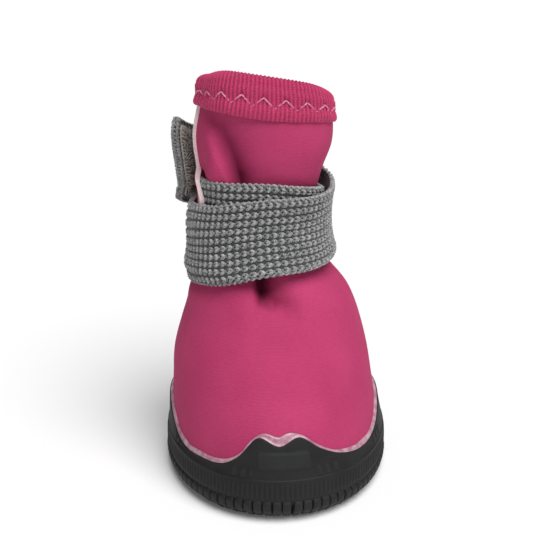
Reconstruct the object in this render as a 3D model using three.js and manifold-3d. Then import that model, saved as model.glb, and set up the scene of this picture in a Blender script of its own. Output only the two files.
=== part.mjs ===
// A small dog's boot: a soft neoprene sock glued into a moulded rubber cup, with a knit elastic
// strap wound twice round the ankle. The toe points to -Y, +Z is up, and the sizes are millimetres.
// The origin is on the floor, under the middle of the sole.
import * as THREE from "three";
import { mergeVertices } from "three/addons/utils/BufferGeometryUtils.js";
import Module from "manifold-3d";

const { clamp, degToRad, euclideanModulo, lerp, radToDeg, smoothstep } = THREE.MathUtils;

// Room left between pieces that touch
const GAP = 0.3;

// The sock, measured to the outside of its neoprene
const WALL = 2.5;
const FOOT_HALF_WIDTH = 31.2;
const TOE_REACH = 40.8;
const HEEL_REACH = 40.8;
const FOOT_MIDDLE = 1;
const SHAFT_HALF_WIDTH = 17;
const SHAFT_FRONT = 12;
const SHAFT_BACK = 24.5;
const SHAFT_MIDDLE = 6.5;
const SHAFT_LEAN = 5.2;
const SHAFT_SQUARENESS = 1;
const COLLAR_HEIGHT = 114.5;
const COLLAR_PEAK = 3.2;
const COLLAR_SIDE_DROP = 2.7;
const COLLAR_CORNER_DROP = 1.1;
const SLANT_START = 88;
const SOLE_CORNER = 5;
const LASTING_MARGIN = 7;

// The lapped seam on the left side of the shaft: the rear panel lies over the front one
const LAP_ANGLE = -85;
const LAP_STEP = 2.2;
const LAP_SPAN = 55;
const LAP_FADE_LOW = 61;
const LAP_FADE_HIGH = 74;
const LAP_EDGE = 0.5;
const LAP_EASE = 14;
const LAP_COLUMN_ROOM = 3;

// The rubber cup
const LUG_HEIGHT = 2;
const FLOOR_THICKNESS = 3.5;
const CUP_HEIGHT = 24;
const CUP_WALL = 2.2;
const CUP_LIP = 0.9;
const CUP_STEP = 0.5;
const CUP_STEP_HEIGHT = 12.5;
const CUP_UNDER_INSET = 7;
const TOE_SPRING = 1;
const HEEL_SPRING = 1;
const SPRING_START = 24;
const SPRING_FADE = 45;
const LUG_PITCH = 5.2;
const LUG_WIDTH = 4.1;
const LUG_LENGTH = 7;
const LUG_PROUD = 0.45;
const LUG_CLIMB = 6.4;
const STUD_PITCH = 12.6;
const STUD_RADIUS = 4.9;
const STUD_MARGIN = 2;

// The insole
const INSOLE_THICKNESS = 2;
const INSOLE_ROOM = 0.6;
const INSOLE_BEVEL = 0.5;

// The binding of the collar
const BINDING_HEIGHT = 6.4;
const BINDING_FRONT_EXTRA = 3.2;
const BINDING_INNER_HEIGHT = 6;
const BINDING_THICKNESS = 1;

// The strap and its hook tape
const STRAP_WIDTH = 23.2;
const STRAP_THICKNESS = 2;
const STRAP_HEIGHT = 73.7;
const STRAP_EDGE_ROOM = 3;
const STRAP_EASE = 5;
const STRAP_STEP = 10;
const PATCH_WIDTH = 20;
const PATCH_THICKNESS = 1.4;
const PATCH_LENGTH = 14;
const PATCH_ROOM = 0.45;

// How finely the surfaces are drawn: columns round the boot, how much closer they stand at the
// toe, and the rows of the sock's two faces as shares of its side's height
const COLUMNS = 50;
const TOE_CROWDING = 0.38;
const OUTSIDE_ROWS = [
  0, 0.07, 0.14, 0.21, 0.28, 0.34, 0.4, 0.45, 0.5, 0.56, 0.63, 0.7, 0.77, 0.84, 0.92, 1,
];
const INSIDE_ROWS = [0, 0.14, 0.28, 0.4, 0.52, 0.65, 0.8, 0.94, 1];

// Levels of the sock, from the floor of the cup to the collar. height is a share of
// COLLAR_HEIGHT. width, toe, heel and middle go from 0, the shaft's size, to 1, the foot's,
// lean is a share of SHAFT_LEAN and square one of SHAFT_SQUARENESS.
const SOCK_LEVELS = [
  { height: 0.05, width: 0.97, toe: 0.99, heel: 0.99, middle: 1.0, lean: 0.0, square: 0.0 },
  { height: 0.106, width: 1.0, toe: 1.0, heel: 1.0, middle: 1.0, lean: 0.0, square: 0.0 },
  { height: 0.177, width: 0.99, toe: 0.965, heel: 0.963, middle: 0.95, lean: 0.1, square: 0.0 },
  { height: 0.248, width: 0.94, toe: 0.874, heel: 0.9, middle: 0.9, lean: 0.19, square: 0.0 },
  { height: 0.319, width: 0.87, toe: 0.734, heel: 0.807, middle: 0.77, lean: 0.25, square: 0.0 },
  { height: 0.389, width: 0.72, toe: 0.56, heel: 0.665, middle: 0.6, lean: 0.25, square: 0.05 },
  { height: 0.434, width: 0.6, toe: 0.44, heel: 0.56, middle: 0.46, lean: 0.26, square: 0.1 },
  { height: 0.469, width: 0.5, toe: 0.345, heel: 0.47, middle: 0.36, lean: 0.36, square: 0.15 },
  { height: 0.504, width: 0.31, toe: 0.255, heel: 0.375, middle: 0.27, lean: 0.47, square: 0.2 },
  { height: 0.545, width: 0.1, toe: 0.165, heel: 0.275, middle: 0.17, lean: 0.76, square: 0.25 },
  { height: 0.584, width: 0.01, toe: 0.095, heel: 0.19, middle: 0.08, lean: 0.86, square: 0.3 },
  { height: 0.655, width: -0.03, toe: 0.02, heel: 0.075, middle: 0.0, lean: 0.95, square: 0.3 },
  { height: 0.726, width: -0.06, toe: 0.0, heel: 0.02, middle: 0.0, lean: 0.77, square: 0.35 },
  { height: 0.796, width: 0.03, toe: -0.017, heel: 0.0, middle: 0.0, lean: 0.66, square: 0.5 },
  { height: 0.872, width: 0.135, toe: -0.045, heel: 0.0, middle: 0.0, lean: 0.52, square: 0.7 },
  { height: 0.938, width: 0.095, toe: -0.08, heel: 0.01, middle: 0.0, lean: 0.34, square: 0.9 },
  { height: 1.0, width: 0.02, toe: -0.12, heel: 0.03, middle: 0.0, lean: 0.32, square: 1.0 },
];

// The side of the rubber cup from the floor up: height is a share of CUP_STEP_HEIGHT, and out
// a share of CUP_WALL beyond the sock.
const CUP_SIDE = [
  { height: 0.16, out: -0.8 },
  { height: 0.26, out: 0.1 },
  { height: 0.42, out: 0.75 },
  { height: 0.62, out: 1.0 },
  { height: 0.98, out: 0.96 },
];

// The band above the step: height is a share of the way up to the top edge, and out goes from 0,
// CUP_LIP, to 1, the wall inside the step.
const CUP_BAND = [
  { height: 0.0, out: 1.0 },
  { height: 0.45, out: 0.35 },
  { height: 0.85, out: 0.0 },
  { height: 1.0, out: -0.5 },
];

// The outer face of a lug from the ground up: height is a share of LUG_CLIMB, and out a share of
// LUG_PROUD beyond the cup's side.
const LUG_FACE = [
  { height: 0.45, out: 0.0 },
  { height: 0.8, out: 1.0 },
  { height: 1.0, out: -0.8 },
];

// The top edge of the rubber cup: angle in degrees round from the toe, right side positive, and
// height as a share of CUP_HEIGHT. Two tongues stand at the toe, with a notch between them and a
// dip on each side.
const CUP_EDGE = [
  { angle: -180, height: 0.86 },
  { angle: -130, height: 0.86 },
  { angle: -90, height: 0.9 },
  { angle: -74, height: 0.8 },
  { angle: -61, height: 0.63 },
  { angle: -50, height: 0.57 },
  { angle: -37, height: 0.59 },
  { angle: -23, height: 0.64 },
  { angle: -16, height: 0.77 },
  { angle: -8, height: 1.01 },
  { angle: 0, height: 0.92 },
  { angle: 8, height: 1.01 },
  { angle: 16, height: 0.85 },
  { angle: 24, height: 0.73 },
  { angle: 37, height: 0.64 },
  { angle: 50, height: 0.64 },
  { angle: 61, height: 0.7 },
  { angle: 74, height: 0.83 },
  { angle: 90, height: 0.9 },
  { angle: 130, height: 0.86 },
  { angle: 180, height: 0.86 },
];

// The strap's way round the shaft: angle in degrees from the toe, going on past 360 for the
// second turn, rise of its middle above STRAP_HEIGHT as a share of STRAP_WIDTH, and standoff as
// a share of STRAP_THICKNESS.
const STRAP_PATH = [
  { angle: -83.5, rise: 0.12, standoff: 0.0 },
  { angle: -40, rise: 0.19, standoff: 0.0 },
  { angle: 0, rise: 0.2, standoff: 0.0 },
  { angle: 90, rise: -0.03, standoff: 0.0 },
  { angle: 180, rise: -0.18, standoff: 0.0 },
  { angle: 275, rise: -0.24, standoff: 0.25 },
  { angle: 315, rise: -0.13, standoff: 0.0 },
  { angle: 360, rise: 0.02, standoff: 0.0 },
  { angle: 420, rise: 0.04, standoff: 0.15 },
  { angle: 450, rise: 0.05, standoff: 0.5 },
  { angle: 480, rise: 0.12, standoff: 0.6 },
  { angle: 540, rise: 0.37, standoff: 0.4 },
  { angle: 575, rise: 0.5, standoff: 1.1 },
  { angle: 600, rise: 0.62, standoff: 1.6 },
  { angle: 622, rise: 0.74, standoff: 2.2 },
];

const wasm = await Module();
wasm.setup();

// A smooth curve through the rows of a table, read by its first column
function curveOf(table, scale) {
  const rows = table.map((row) => Object.values(row));
  const places = rows.map((row) => row[0] * scale);
  const values = rows.flatMap((row) => row.slice(1));
  return new THREE.CubicInterpolant(places, values, rows[0].length - 1);
}

const sockLevels = curveOf(SOCK_LEVELS, COLLAR_HEIGHT);
const cupEdge = curveOf(CUP_EDGE, 1);
const strapPath = curveOf(STRAP_PATH, 1);

const CUP_FLOOR = LUG_HEIGHT + FLOOR_THICKNESS;
const SOCK_FLOOR = CUP_FLOOR + GAP;
const SOCK_SIDE = SOCK_FLOOR + SOLE_CORNER;
const STRAP_START = STRAP_PATH[0].angle;
const STRAP_END = STRAP_PATH.at(-1).angle;

// How far the toe and the heel are lifted off the floor at a point, fading out up the boot
function spring(y, height) {
  const reach = y < 0 ? TOE_REACH : HEEL_REACH;
  const rise = y < 0 ? TOE_SPRING : HEEL_SPRING;
  const share = Math.max(0, (Math.abs(y) - SPRING_START) / (reach - SPRING_START));
  return rise * share ** 2 * clamp(1 - height / SPRING_FADE, 0, 1);
}

// A point on the outside of the sock, at degrees round from the toe towards +X. inset moves it
// towards the middle, and z is its height where that isn't the level of the section.
function sockPoint(degrees, level, inset = 0, z = level) {
  const [width, toe, heel, middle, lean, square] = sockLevels.evaluate(level);
  const turn = degToRad(degrees);
  const halfWidth = lerp(SHAFT_HALF_WIDTH, FOOT_HALF_WIDTH, width);
  const middleY = lerp(SHAFT_MIDDLE, FOOT_MIDDLE, middle);
  const front = lerp(SHAFT_FRONT, TOE_REACH, toe) + middleY;
  const back = lerp(SHAFT_BACK, HEEL_REACH, heel) - middleY;
  const length = Math.cos(turn) > 0 ? front : back;
  const power = 2 + square * SHAFT_SQUARENESS;
  const sideways = Math.abs(Math.sin(turn)) / halfWidth;
  const lengthways = Math.abs(Math.cos(turn)) / length;
  const radius = (sideways ** power + lengthways ** power) ** (-1 / power) - inset;
  const right = radius * Math.sin(turn);
  const ahead = radius * Math.cos(turn);
  const x = right - SHAFT_LEAN * lean;
  const y = middleY - ahead;
  const share = right / halfWidth;
  const slant = (COLLAR_PEAK * ahead) / length - COLLAR_SIDE_DROP * share - COLLAR_CORNER_DROP * share ** 6;
  const slanted = z + slant * smoothstep(level, SLANT_START, COLLAR_HEIGHT);
  return new THREE.Vector3(x, y, slanted + spring(y, z));
}

// The way out of the sock at a point
function sockNormal(degrees, level) {
  const across = sockPoint(degrees + 0.5, level).sub(sockPoint(degrees - 0.5, level));
  const up = sockPoint(degrees, level + 0.25).sub(sockPoint(degrees, level - 0.25));
  return across.cross(up).normalize();
}

function besideSock(degrees, level, distance) {
  return sockPoint(degrees, level).addScaledVector(sockNormal(degrees, level), distance);
}

// How far the rear panel stands over the front one: full at its cut edge, nothing round the back
// and below the strap. What lies over the seam eases down in front of the edge as well.
function lapHeight(degrees, level, easeInFront = 0) {
  const behind = euclideanModulo(LAP_ANGLE - degrees, 360);
  const infront = euclideanModulo(degrees - LAP_ANGLE, 360);
  const share = Math.max(1 - smoothstep(behind, 0, LAP_SPAN), 1 - smoothstep(infront, 0, easeInFront));
  return LAP_STEP * share * smoothstep(level, LAP_FADE_LOW, LAP_FADE_HIGH);
}

// Columns round the boot in degrees, closer together at the toe
function columnsRound(count) {
  return Array.from({ length: count }, (_, i) => {
    const turn = -180 + (360 * i) / count;
    return turn - TOE_CROWDING * radToDeg(Math.sin(degToRad(turn)));
  });
}

// One closed surface over a list of rings of equally many points. The last ring meets the first
// one where joined is true, and otherwise each end ring is closed by its middle point.
function skin(rings, joined) {
  const points = rings.flat();
  const count = rings[0].length;
  const faces = [];
  const bands = joined ? rings.length : rings.length - 1;
  for (let i = 0; i < bands; i += 1) {
    const row = i * count;
    const next = ((i + 1) % rings.length) * count;
    for (let j = 0; j < count; j += 1) {
      const k = (j + 1) % count;
      faces.push(row + j, row + k, next + k, row + j, next + k, next + j);
    }
  }
  if (!joined) {
    const start = points.push(middleOf(rings[0])) - 1;
    const end = points.push(middleOf(rings.at(-1))) - 1;
    const lastRow = (rings.length - 1) * count;
    for (let j = 0; j < count; j += 1) {
      const k = (j + 1) % count;
      faces.push(start, k, j, end, lastRow + j, lastRow + k);
    }
  }
  const geometry = new THREE.BufferGeometry().setFromPoints(points);
  geometry.setIndex(faces);
  return facingOut(geometry);
}

function middleOf(ring) {
  const middle = new THREE.Vector3();
  ring.forEach((point) => middle.add(point));
  return middle.divideScalar(ring.length);
}

// Turns the faces round where the surface encloses a negative volume
function facingOut(geometry) {
  const index = geometry.index.array;
  const [a, b, c] = [0, 1, 2].map(() => new THREE.Vector3());
  let volume = 0;
  for (let i = 0; i < index.length; i += 3) {
    a.fromBufferAttribute(geometry.attributes.position, index[i]);
    b.fromBufferAttribute(geometry.attributes.position, index[i + 1]);
    c.fromBufferAttribute(geometry.attributes.position, index[i + 2]);
    volume += a.dot(b.cross(c));
  }
  if (volume < 0) {
    for (let i = 0; i < index.length; i += 3) {
      [index[i + 1], index[i + 2]] = [index[i + 2], index[i + 1]];
    }
  }
  return geometry;
}

// The same rings moved out along the surface's own direction
function offsetRings(rings, distance) {
  return rings.map((ring, i) => {
    const below = rings[Math.max(i - 1, 0)];
    const above = rings[Math.min(i + 1, rings.length - 1)];
    return ring.map((point, j) => {
      const left = ring[(j + ring.length - 1) % ring.length];
      const right = ring[(j + 1) % ring.length];
      const across = right.clone().sub(left);
      const along = above[j].clone().sub(below[j]);
      return point.clone().addScaledVector(across.cross(along).normalize(), distance);
    });
  });
}

function toSolid(geometry) {
  geometry.deleteAttribute("normal");
  geometry.deleteAttribute("uv");
  const merged = mergeVertices(geometry, 1e-4);
  const vertProperties = merged.attributes.position.array;
  const triVerts = new Uint32Array(merged.index.array);
  return new wasm.Manifold(new wasm.Mesh({ numProp: 3, vertProperties, triVerts }));
}

function fromSolid(solid) {
  const { vertProperties, triVerts } = solid.getMesh();
  const geometry = new THREE.BufferGeometry();
  geometry.setAttribute("position", new THREE.BufferAttribute(vertProperties, 3));
  geometry.setIndex(new THREE.BufferAttribute(triVerts, 1));
  return geometry;
}

function piece(name, geometry, colour, roughness) {
  geometry.computeVertexNormals();
  const material = new THREE.MeshStandardMaterial({ color: colour, roughness, metalness: 0 });
  const mesh = new THREE.Mesh(geometry, material);
  mesh.name = name;
  return mesh;
}

// The sock's underside set out by distance, from the free edge of its turned-in margin out to
// the foot of its side
function undersideRings(columns, distance) {
  const edge = [SOLE_CORNER + LASTING_MARGIN, 0];
  const corner = [0, 30, 60, 90].map(degToRad).map((turn) => [
    SOLE_CORNER * (1 - Math.sin(turn)),
    SOLE_CORNER * (1 - Math.cos(turn)),
  ]);
  const rings = [edge, ...corner].map(([inset, rise]) =>
    columns.map((degrees) => sockPoint(degrees, SOCK_SIDE, inset, SOCK_FLOOR + rise)),
  );
  return offsetRings(rings, distance).slice(0, -1);
}

function makeUpper() {
  const halfEdge = radToDeg(LAP_EDGE / 2 / SHAFT_HALF_WIDTH);
  const columns = columnsRound(COLUMNS).filter((turn) => Math.abs(turn - LAP_ANGLE) > LAP_COLUMN_ROOM);
  columns.push(LAP_ANGLE - halfEdge, LAP_ANGLE + halfEdge);
  columns.sort((a, b) => a - b);
  const face = (rows, distance) =>
    rows.map((share) => {
      const level = lerp(SOCK_SIDE, COLLAR_HEIGHT, share);
      return columns.map((degrees) => besideSock(degrees, level, distance(degrees, level)));
    });
  const outside = [...undersideRings(columns, 0), ...face(OUTSIDE_ROWS, lapHeight)];
  const inside = [...undersideRings(columns, -WALL), ...face(INSIDE_ROWS, () => -WALL)];
  return skin([...outside, ...inside.reverse()], true);
}

// A point beside the cup's side. Below the sock's side it goes straight down.
function besideCup(degrees, z, distance) {
  const level = Math.max(z, SOCK_SIDE);
  const normal = sockNormal(degrees, level);
  return sockPoint(degrees, level, 0, z).addScaledVector(normal, distance);
}

function cupTop(degrees) {
  return CUP_HEIGHT * cupEdge.evaluate(degrees)[0];
}

function makeCup() {
  const columns = columnsRound(COLUMNS);
  const ring = (pointAt) => columns.map(pointAt);
  const under = ring((degrees) => sockPoint(degrees, SOCK_SIDE, CUP_UNDER_INSET, LUG_HEIGHT));
  const side = CUP_SIDE.map(({ height, out }) =>
    ring((degrees) => besideCup(degrees, height * CUP_STEP_HEIGHT, GAP + out * CUP_WALL)),
  );
  const step = CUP_STEP_HEIGHT + CUP_STEP / 2;
  const band = CUP_BAND.map(({ height, out }) => {
    const distance = GAP + lerp(CUP_LIP, CUP_WALL - CUP_STEP, out);
    return ring((degrees) => besideCup(degrees, lerp(step, cupTop(degrees), height), distance));
  });
  const inner = [1, 0.5, 0].map((share) =>
    ring((degrees) => besideSock(degrees, lerp(SOCK_SIDE, cupTop(degrees), share), GAP)),
  );
  const seat = undersideRings(columns, GAP).reverse();
  return skin([under, ...side, ...band, ...inner, ...seat], false);
}

// Where the lugs stand along the edge of the sole: degrees at equal steps of its length
function lugPlaces() {
  const turns = Array.from({ length: 721 }, (_, i) => i / 2);
  const points = turns.map((turn) => besideCup(turn, LUG_HEIGHT, 0));
  const lengths = [0];
  for (let i = 1; i < points.length; i += 1) {
    lengths.push(lengths[i - 1] + points[i].distanceTo(points[i - 1]));
  }
  const count = Math.round(lengths.at(-1) / LUG_PITCH);
  return Array.from({ length: count }, (_, i) => {
    const wanted = (lengths.at(-1) * i) / count;
    return turns[lengths.findIndex((length) => length >= wanted)];
  });
}

// One lug at the edge of the sole: it runs in under the floor and climbs the side
function makeLug(degrees) {
  const side = GAP + CUP_WALL;
  const profile = [
    [-LUG_LENGTH, 0],
    [-GAP, 0],
    ...LUG_FACE.map(({ height, out }) => [side + out * LUG_PROUD, height * LUG_CLIMB]),
    [-LUG_LENGTH, LUG_HEIGHT + FLOOR_THICKNESS / 3],
  ];
  const out = sockNormal(degrees, SOCK_SIDE).setZ(0).normalize();
  const along = new THREE.Vector3(-out.y, out.x, 0);
  const ends = [-0.5, 0.5].map((end) =>
    profile.map(([distance, z]) => {
      const point = sockPoint(degrees, SOCK_SIDE, 0, z);
      return point.addScaledVector(out, distance).addScaledVector(along, end * LUG_WIDTH);
    }),
  );
  return skin(ends, false);
}

// The middles of the six-sided studs under the floor, in rows, clear of the lugs
function studPlaces() {
  const places = [];
  const rowPitch = STUD_PITCH * Math.sin(degToRad(60));
  const rows = Math.ceil(HEEL_REACH / rowPitch);
  for (let row = -rows; row <= rows; row += 1) {
    const shift = row % 2 === 0 ? 0 : 0.5;
    const most = Math.ceil(FOOT_HALF_WIDTH / STUD_PITCH);
    for (let i = -most; i <= most; i += 1) {
      const [x, y] = [(i + shift) * STUD_PITCH, FOOT_MIDDLE + row * rowPitch];
      const reach = y < FOOT_MIDDLE ? TOE_REACH + FOOT_MIDDLE : HEEL_REACH - FOOT_MIDDLE;
      const room = LUG_LENGTH + STUD_RADIUS + STUD_MARGIN;
      if (Math.hypot(x / (FOOT_HALF_WIDTH - room), (y - FOOT_MIDDLE) / (reach - room)) <= 1) {
        places.push([x, y]);
      }
    }
  }
  return places;
}

function makeStud([x, y]) {
  const height = LUG_HEIGHT + FLOOR_THICKNESS / 3;
  const geometry = new THREE.CylinderGeometry(STUD_RADIUS, STUD_RADIUS, height, 6);
  geometry.rotateX(Math.PI / 2).translate(x, y, height / 2);
  return geometry;
}

function makeOutsole() {
  const lugs = lugPlaces().map(makeLug);
  const studs = studPlaces().map(makeStud);
  const cup = toSolid(makeCup());
  return fromSolid([...lugs, ...studs].map(toSolid).reduce((whole, lug) => whole.add(lug), cup));
}

// The insole: a board on the sock's turned-in margin, with a plug that fills the opening inside it
function makeInsole() {
  const columns = columnsRound(COLUMNS);
  const board = SOCK_FLOOR + WALL + GAP;
  const plugInset = SOLE_CORNER + LASTING_MARGIN + GAP;
  const insideCorner = (z) => {
    const drop = Math.min(SOCK_SIDE - z, SOLE_CORNER - WALL);
    return SOLE_CORNER - Math.sqrt((SOLE_CORNER - WALL) ** 2 - drop ** 2) + INSOLE_ROOM;
  };
  const middle = board + INSOLE_THICKNESS / 2;
  const top = board + INSOLE_THICKNESS;
  const rings = [
    [plugInset, SOCK_FLOOR],
    [plugInset, board],
    [insideCorner(board), board],
    [insideCorner(middle), middle],
    [insideCorner(middle) + INSOLE_BEVEL, top],
    [plugInset, top],
  ];
  const points = rings.map(([inset, z]) =>
    columns.map((degrees) => sockPoint(degrees, SOCK_SIDE, inset, z)),
  );
  return skin(points, false);
}

// The tape folded over the collar's edge: down its outside, and less far down its inside
function makeBinding() {
  const columns = columnsRound(COLUMNS);
  const ring = (share, distance, rise) =>
    columns.map((degrees) => {
      const outside = distance > 0;
      const frontness = (0.5 + 0.5 * Math.cos(degToRad(degrees))) ** 2;
      const skirt = BINDING_HEIGHT + BINDING_FRONT_EXTRA * frontness;
      const level = COLLAR_HEIGHT - share * (outside ? skirt : BINDING_INNER_HEIGHT);
      const lap = outside ? lapHeight(degrees, level, LAP_EASE) : 0;
      const point = besideSock(degrees, level, distance + lap);
      return point.setZ(point.z + rise);
    });
  const near = GAP;
  const far = GAP + BINDING_THICKNESS;
  const rings = [
    ring(1, near, 0),
    ring(0, near, near),
    ring(0, -WALL - near, near),
    ring(1, -WALL - near, 0),
    ring(1, -WALL - far, 0),
    ring(0, -WALL - far, near),
    ring(0, -WALL / 2, far),
    ring(0, far, near),
    ring(1, far, 0),
  ];
  return skin(rings, true);
}

function strapRise(turn) {
  return STRAP_HEIGHT + STRAP_WIDTH * strapPath.evaluate(turn)[0];
}

// Half the height that the strap takes up where it climbs
function strapReach(turn) {
  const climb = strapRise(turn + 1) - strapRise(turn - 1);
  return (STRAP_WIDTH / 2) * Math.hypot(1, climb / (degToRad(2) * SHAFT_HALF_WIDTH));
}

// How much of the first turn's thickness the second one has under it
function strapUnder(turn, level) {
  const first = turn - 360;
  const begun = smoothstep(first, STRAP_START - LAP_EASE * 2, STRAP_START - LAP_EASE / 4);
  const past = Math.abs(level - strapRise(first)) - strapReach(first);
  return begun * (1 - smoothstep(past, STRAP_EDGE_ROOM, STRAP_EDGE_ROOM + STRAP_EASE));
}

// The level of a line along the strap, from -1 at its lower edge to 1 at its upper one, with its
// distance from the middle measured along the sock
function strapLevel(turn, across) {
  const middle = strapRise(turn);
  const drop = across * strapReach(turn);
  const length = sockPoint(turn, middle).distanceTo(sockPoint(turn, middle + drop));
  return length > 0 ? middle + (drop * Math.abs(drop)) / length : middle;
}

// A point of the strap: turn in degrees along it, across as above, and out from its inner face
function strapPoint(turn, across, out) {
  const level = strapLevel(turn, across);
  const degrees = euclideanModulo(turn + 180, 360) - 180;
  const ease = turn < LAP_ANGLE + 360 ? 0 : LAP_EASE;
  const lap = turn < LAP_ANGLE ? 0 : lapHeight(degrees, level, ease);
  const seam = turn < LAP_ANGLE + LAP_SPAN ? 0 : lap;
  const turnBelow = strapUnder(turn, level) * (STRAP_THICKNESS + GAP);
  const standoff = strapPath.evaluate(turn)[1] * STRAP_THICKNESS;
  return besideSock(degrees, level, GAP + Math.max(seam, turnBelow) + standoff + out);
}

// A band along the strap's way to its end, with its inner face set out by from
function bandAlong(start, width, from, thickness) {
  const steps = Math.ceil((STRAP_END - STRAP_START) / STRAP_STEP);
  const places = Array.from({ length: steps + 1 }, (_, i) => lerp(STRAP_START, STRAP_END, i / steps));
  const across = [-1, -0.5, 0, 0.5, 1].map((share) => (share * width) / STRAP_WIDTH);
  const turns = [start, ...places.filter((turn) => turn > start + 1)];
  const sections = turns.map((turn) => {
    const inner = across.map((share) => strapPoint(turn, share, from));
    const outer = across.map((share) => strapPoint(turn, share, from + thickness));
    return [...inner, ...outer.reverse()];
  });
  return skin(sections, false);
}

function makeStrap() {
  return bandAlong(STRAP_START, STRAP_WIDTH, 0, STRAP_THICKNESS);
}

// The hook tape lies on the inner side of the strap's free end
function makeHookPatch() {
  const start = STRAP_END - radToDeg(PATCH_LENGTH / SHAFT_HALF_WIDTH);
  return bandAlong(start, PATCH_WIDTH, -PATCH_ROOM - PATCH_THICKNESS, PATCH_THICKNESS);
}

const boot = new THREE.Group();
boot.add(piece("outsole", makeOutsole(), "#2d2d2f", 0.75));
boot.add(piece("upper", makeUpper(), "#b03c62", 0.85));
boot.add(piece("insole", makeInsole(), "#3a3a3c", 0.9));
boot.add(piece("collar_binding", makeBinding(), "#b9325f", 0.8));
boot.add(piece("strap", makeStrap(), "#828282", 0.85));
boot.add(piece("hook_patch", makeHookPatch(), "#3c3c3c", 0.95));

export default boot;
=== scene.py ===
# %% [markdown]
# # A small dog's boot
# A soft neoprene sock is glued into a moulded rubber cup, its collar is bound with rib-knit
# tape, and a knit elastic strap goes twice round the ankle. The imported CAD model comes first,
# as a fixed frame in metres, and every piece below is laid on the same surfaces.

import bmesh
import bpy
import numpy as np
from mathutils import Matrix, Vector


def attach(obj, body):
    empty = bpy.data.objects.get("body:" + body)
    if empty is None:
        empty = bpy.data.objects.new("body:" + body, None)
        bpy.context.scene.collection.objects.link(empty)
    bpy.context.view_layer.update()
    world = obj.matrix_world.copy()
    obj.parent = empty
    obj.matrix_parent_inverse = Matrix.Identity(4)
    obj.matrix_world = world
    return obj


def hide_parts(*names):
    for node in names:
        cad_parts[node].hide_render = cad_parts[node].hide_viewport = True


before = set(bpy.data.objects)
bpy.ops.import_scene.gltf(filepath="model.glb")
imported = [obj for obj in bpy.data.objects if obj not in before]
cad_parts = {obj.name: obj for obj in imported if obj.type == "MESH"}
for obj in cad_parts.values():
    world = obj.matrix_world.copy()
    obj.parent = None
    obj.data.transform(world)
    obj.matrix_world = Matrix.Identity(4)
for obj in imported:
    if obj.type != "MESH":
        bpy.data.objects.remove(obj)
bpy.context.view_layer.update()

# %% [markdown]
# ## The sizes
# The sizes and tables are the CAD model's own, in millimetres, so that a piece lands where its
# solid is. A piece is multiplied by MM when its mesh is made.

# %% Sizes of the sock, the cup, the binding and the strap
MM = 0.001
GAP = 0.3

WALL = 2.5
FOOT_HALF_WIDTH = 31.2
TOE_REACH = 40.8
HEEL_REACH = 40.8
FOOT_MIDDLE = 1
SHAFT_HALF_WIDTH = 17
SHAFT_FRONT = 12
SHAFT_BACK = 24.5
SHAFT_MIDDLE = 6.5
SHAFT_LEAN = 5.2
COLLAR_HEIGHT = 114.5
COLLAR_PEAK = 3.2
COLLAR_SIDE_DROP = 2.7
COLLAR_CORNER_DROP = 1.1
SLANT_START = 88
SOLE_CORNER = 5
LASTING_MARGIN = 7

LAP_ANGLE = -85
LAP_STEP = 2.2
LAP_SPAN = 55
LAP_FADE_LOW = 61
LAP_FADE_HIGH = 74
LAP_EDGE = 0.5
LAP_EASE = 14

LUG_HEIGHT = 2
FLOOR_THICKNESS = 3.5
CUP_HEIGHT = 24
CUP_WALL = 2.2
CUP_STEP = 0.5
CUP_STEP_HEIGHT = 12.5
TOE_SPRING = 1
HEEL_SPRING = 1
SPRING_START = 24
SPRING_FADE = 45
LUG_PITCH = 5.2
LUG_LENGTH = 7
LUG_PROUD = 0.45
LUG_CLIMB = 6.4
STUD_PITCH = 12.6
STUD_RADIUS = 4.9
STUD_MARGIN = 2
CUP_FLOOR = LUG_HEIGHT + FLOOR_THICKNESS
SOCK_FLOOR = CUP_FLOOR + GAP
SOCK_SIDE = SOCK_FLOOR + SOLE_CORNER

INSOLE_THICKNESS = 2

BINDING_HEIGHT = 6.4
BINDING_FRONT_EXTRA = 3.2
BINDING_INNER_HEIGHT = 6
BINDING_THICKNESS = 1

STRAP_WIDTH = 23.2
STRAP_THICKNESS = 2
STRAP_HEIGHT = 73.7
STRAP_EDGE_ROOM = 3
STRAP_EASE = 5
PATCH_WIDTH = 20
PATCH_LENGTH = 14

# %% The tables
# height share, width, toe, heel, middle, lean, square
SOCK_LEVELS = [
    (0.05, 0.97, 0.99, 0.99, 1.0, 0.0, 0.0),
    (0.106, 1.0, 1.0, 1.0, 1.0, 0.0, 0.0),
    (0.177, 0.99, 0.965, 0.963, 0.95, 0.1, 0.0),
    (0.248, 0.94, 0.874, 0.9, 0.9, 0.19, 0.0),
    (0.319, 0.87, 0.734, 0.807, 0.77, 0.25, 0.0),
    (0.389, 0.72, 0.56, 0.665, 0.6, 0.25, 0.05),
    (0.434, 0.6, 0.44, 0.56, 0.46, 0.26, 0.1),
    (0.469, 0.5, 0.345, 0.47, 0.36, 0.36, 0.15),
    (0.504, 0.31, 0.255, 0.375, 0.27, 0.47, 0.2),
    (0.545, 0.1, 0.165, 0.275, 0.17, 0.76, 0.25),
    (0.584, 0.01, 0.095, 0.19, 0.08, 0.86, 0.3),
    (0.655, -0.03, 0.02, 0.075, 0.0, 0.95, 0.3),
    (0.726, -0.06, 0.0, 0.02, 0.0, 0.77, 0.35),
    (0.796, 0.03, -0.017, 0.0, 0.0, 0.66, 0.5),
    (0.872, 0.135, -0.045, 0.0, 0.0, 0.52, 0.7),
    (0.938, 0.095, -0.08, 0.01, 0.0, 0.34, 0.9),
    (1.0, 0.02, -0.12, 0.03, 0.0, 0.32, 1.0),
]

# place in the row of points, height in mm, out from the sock in mm
CUP_SIDE = [
    (0, 2.0, -1.76),
    (1, 3.25, 0.22),
    (2, 5.25, 1.65),
    (3, 7.75, 2.2),
    (4, 12.25, 2.11),
]

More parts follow.
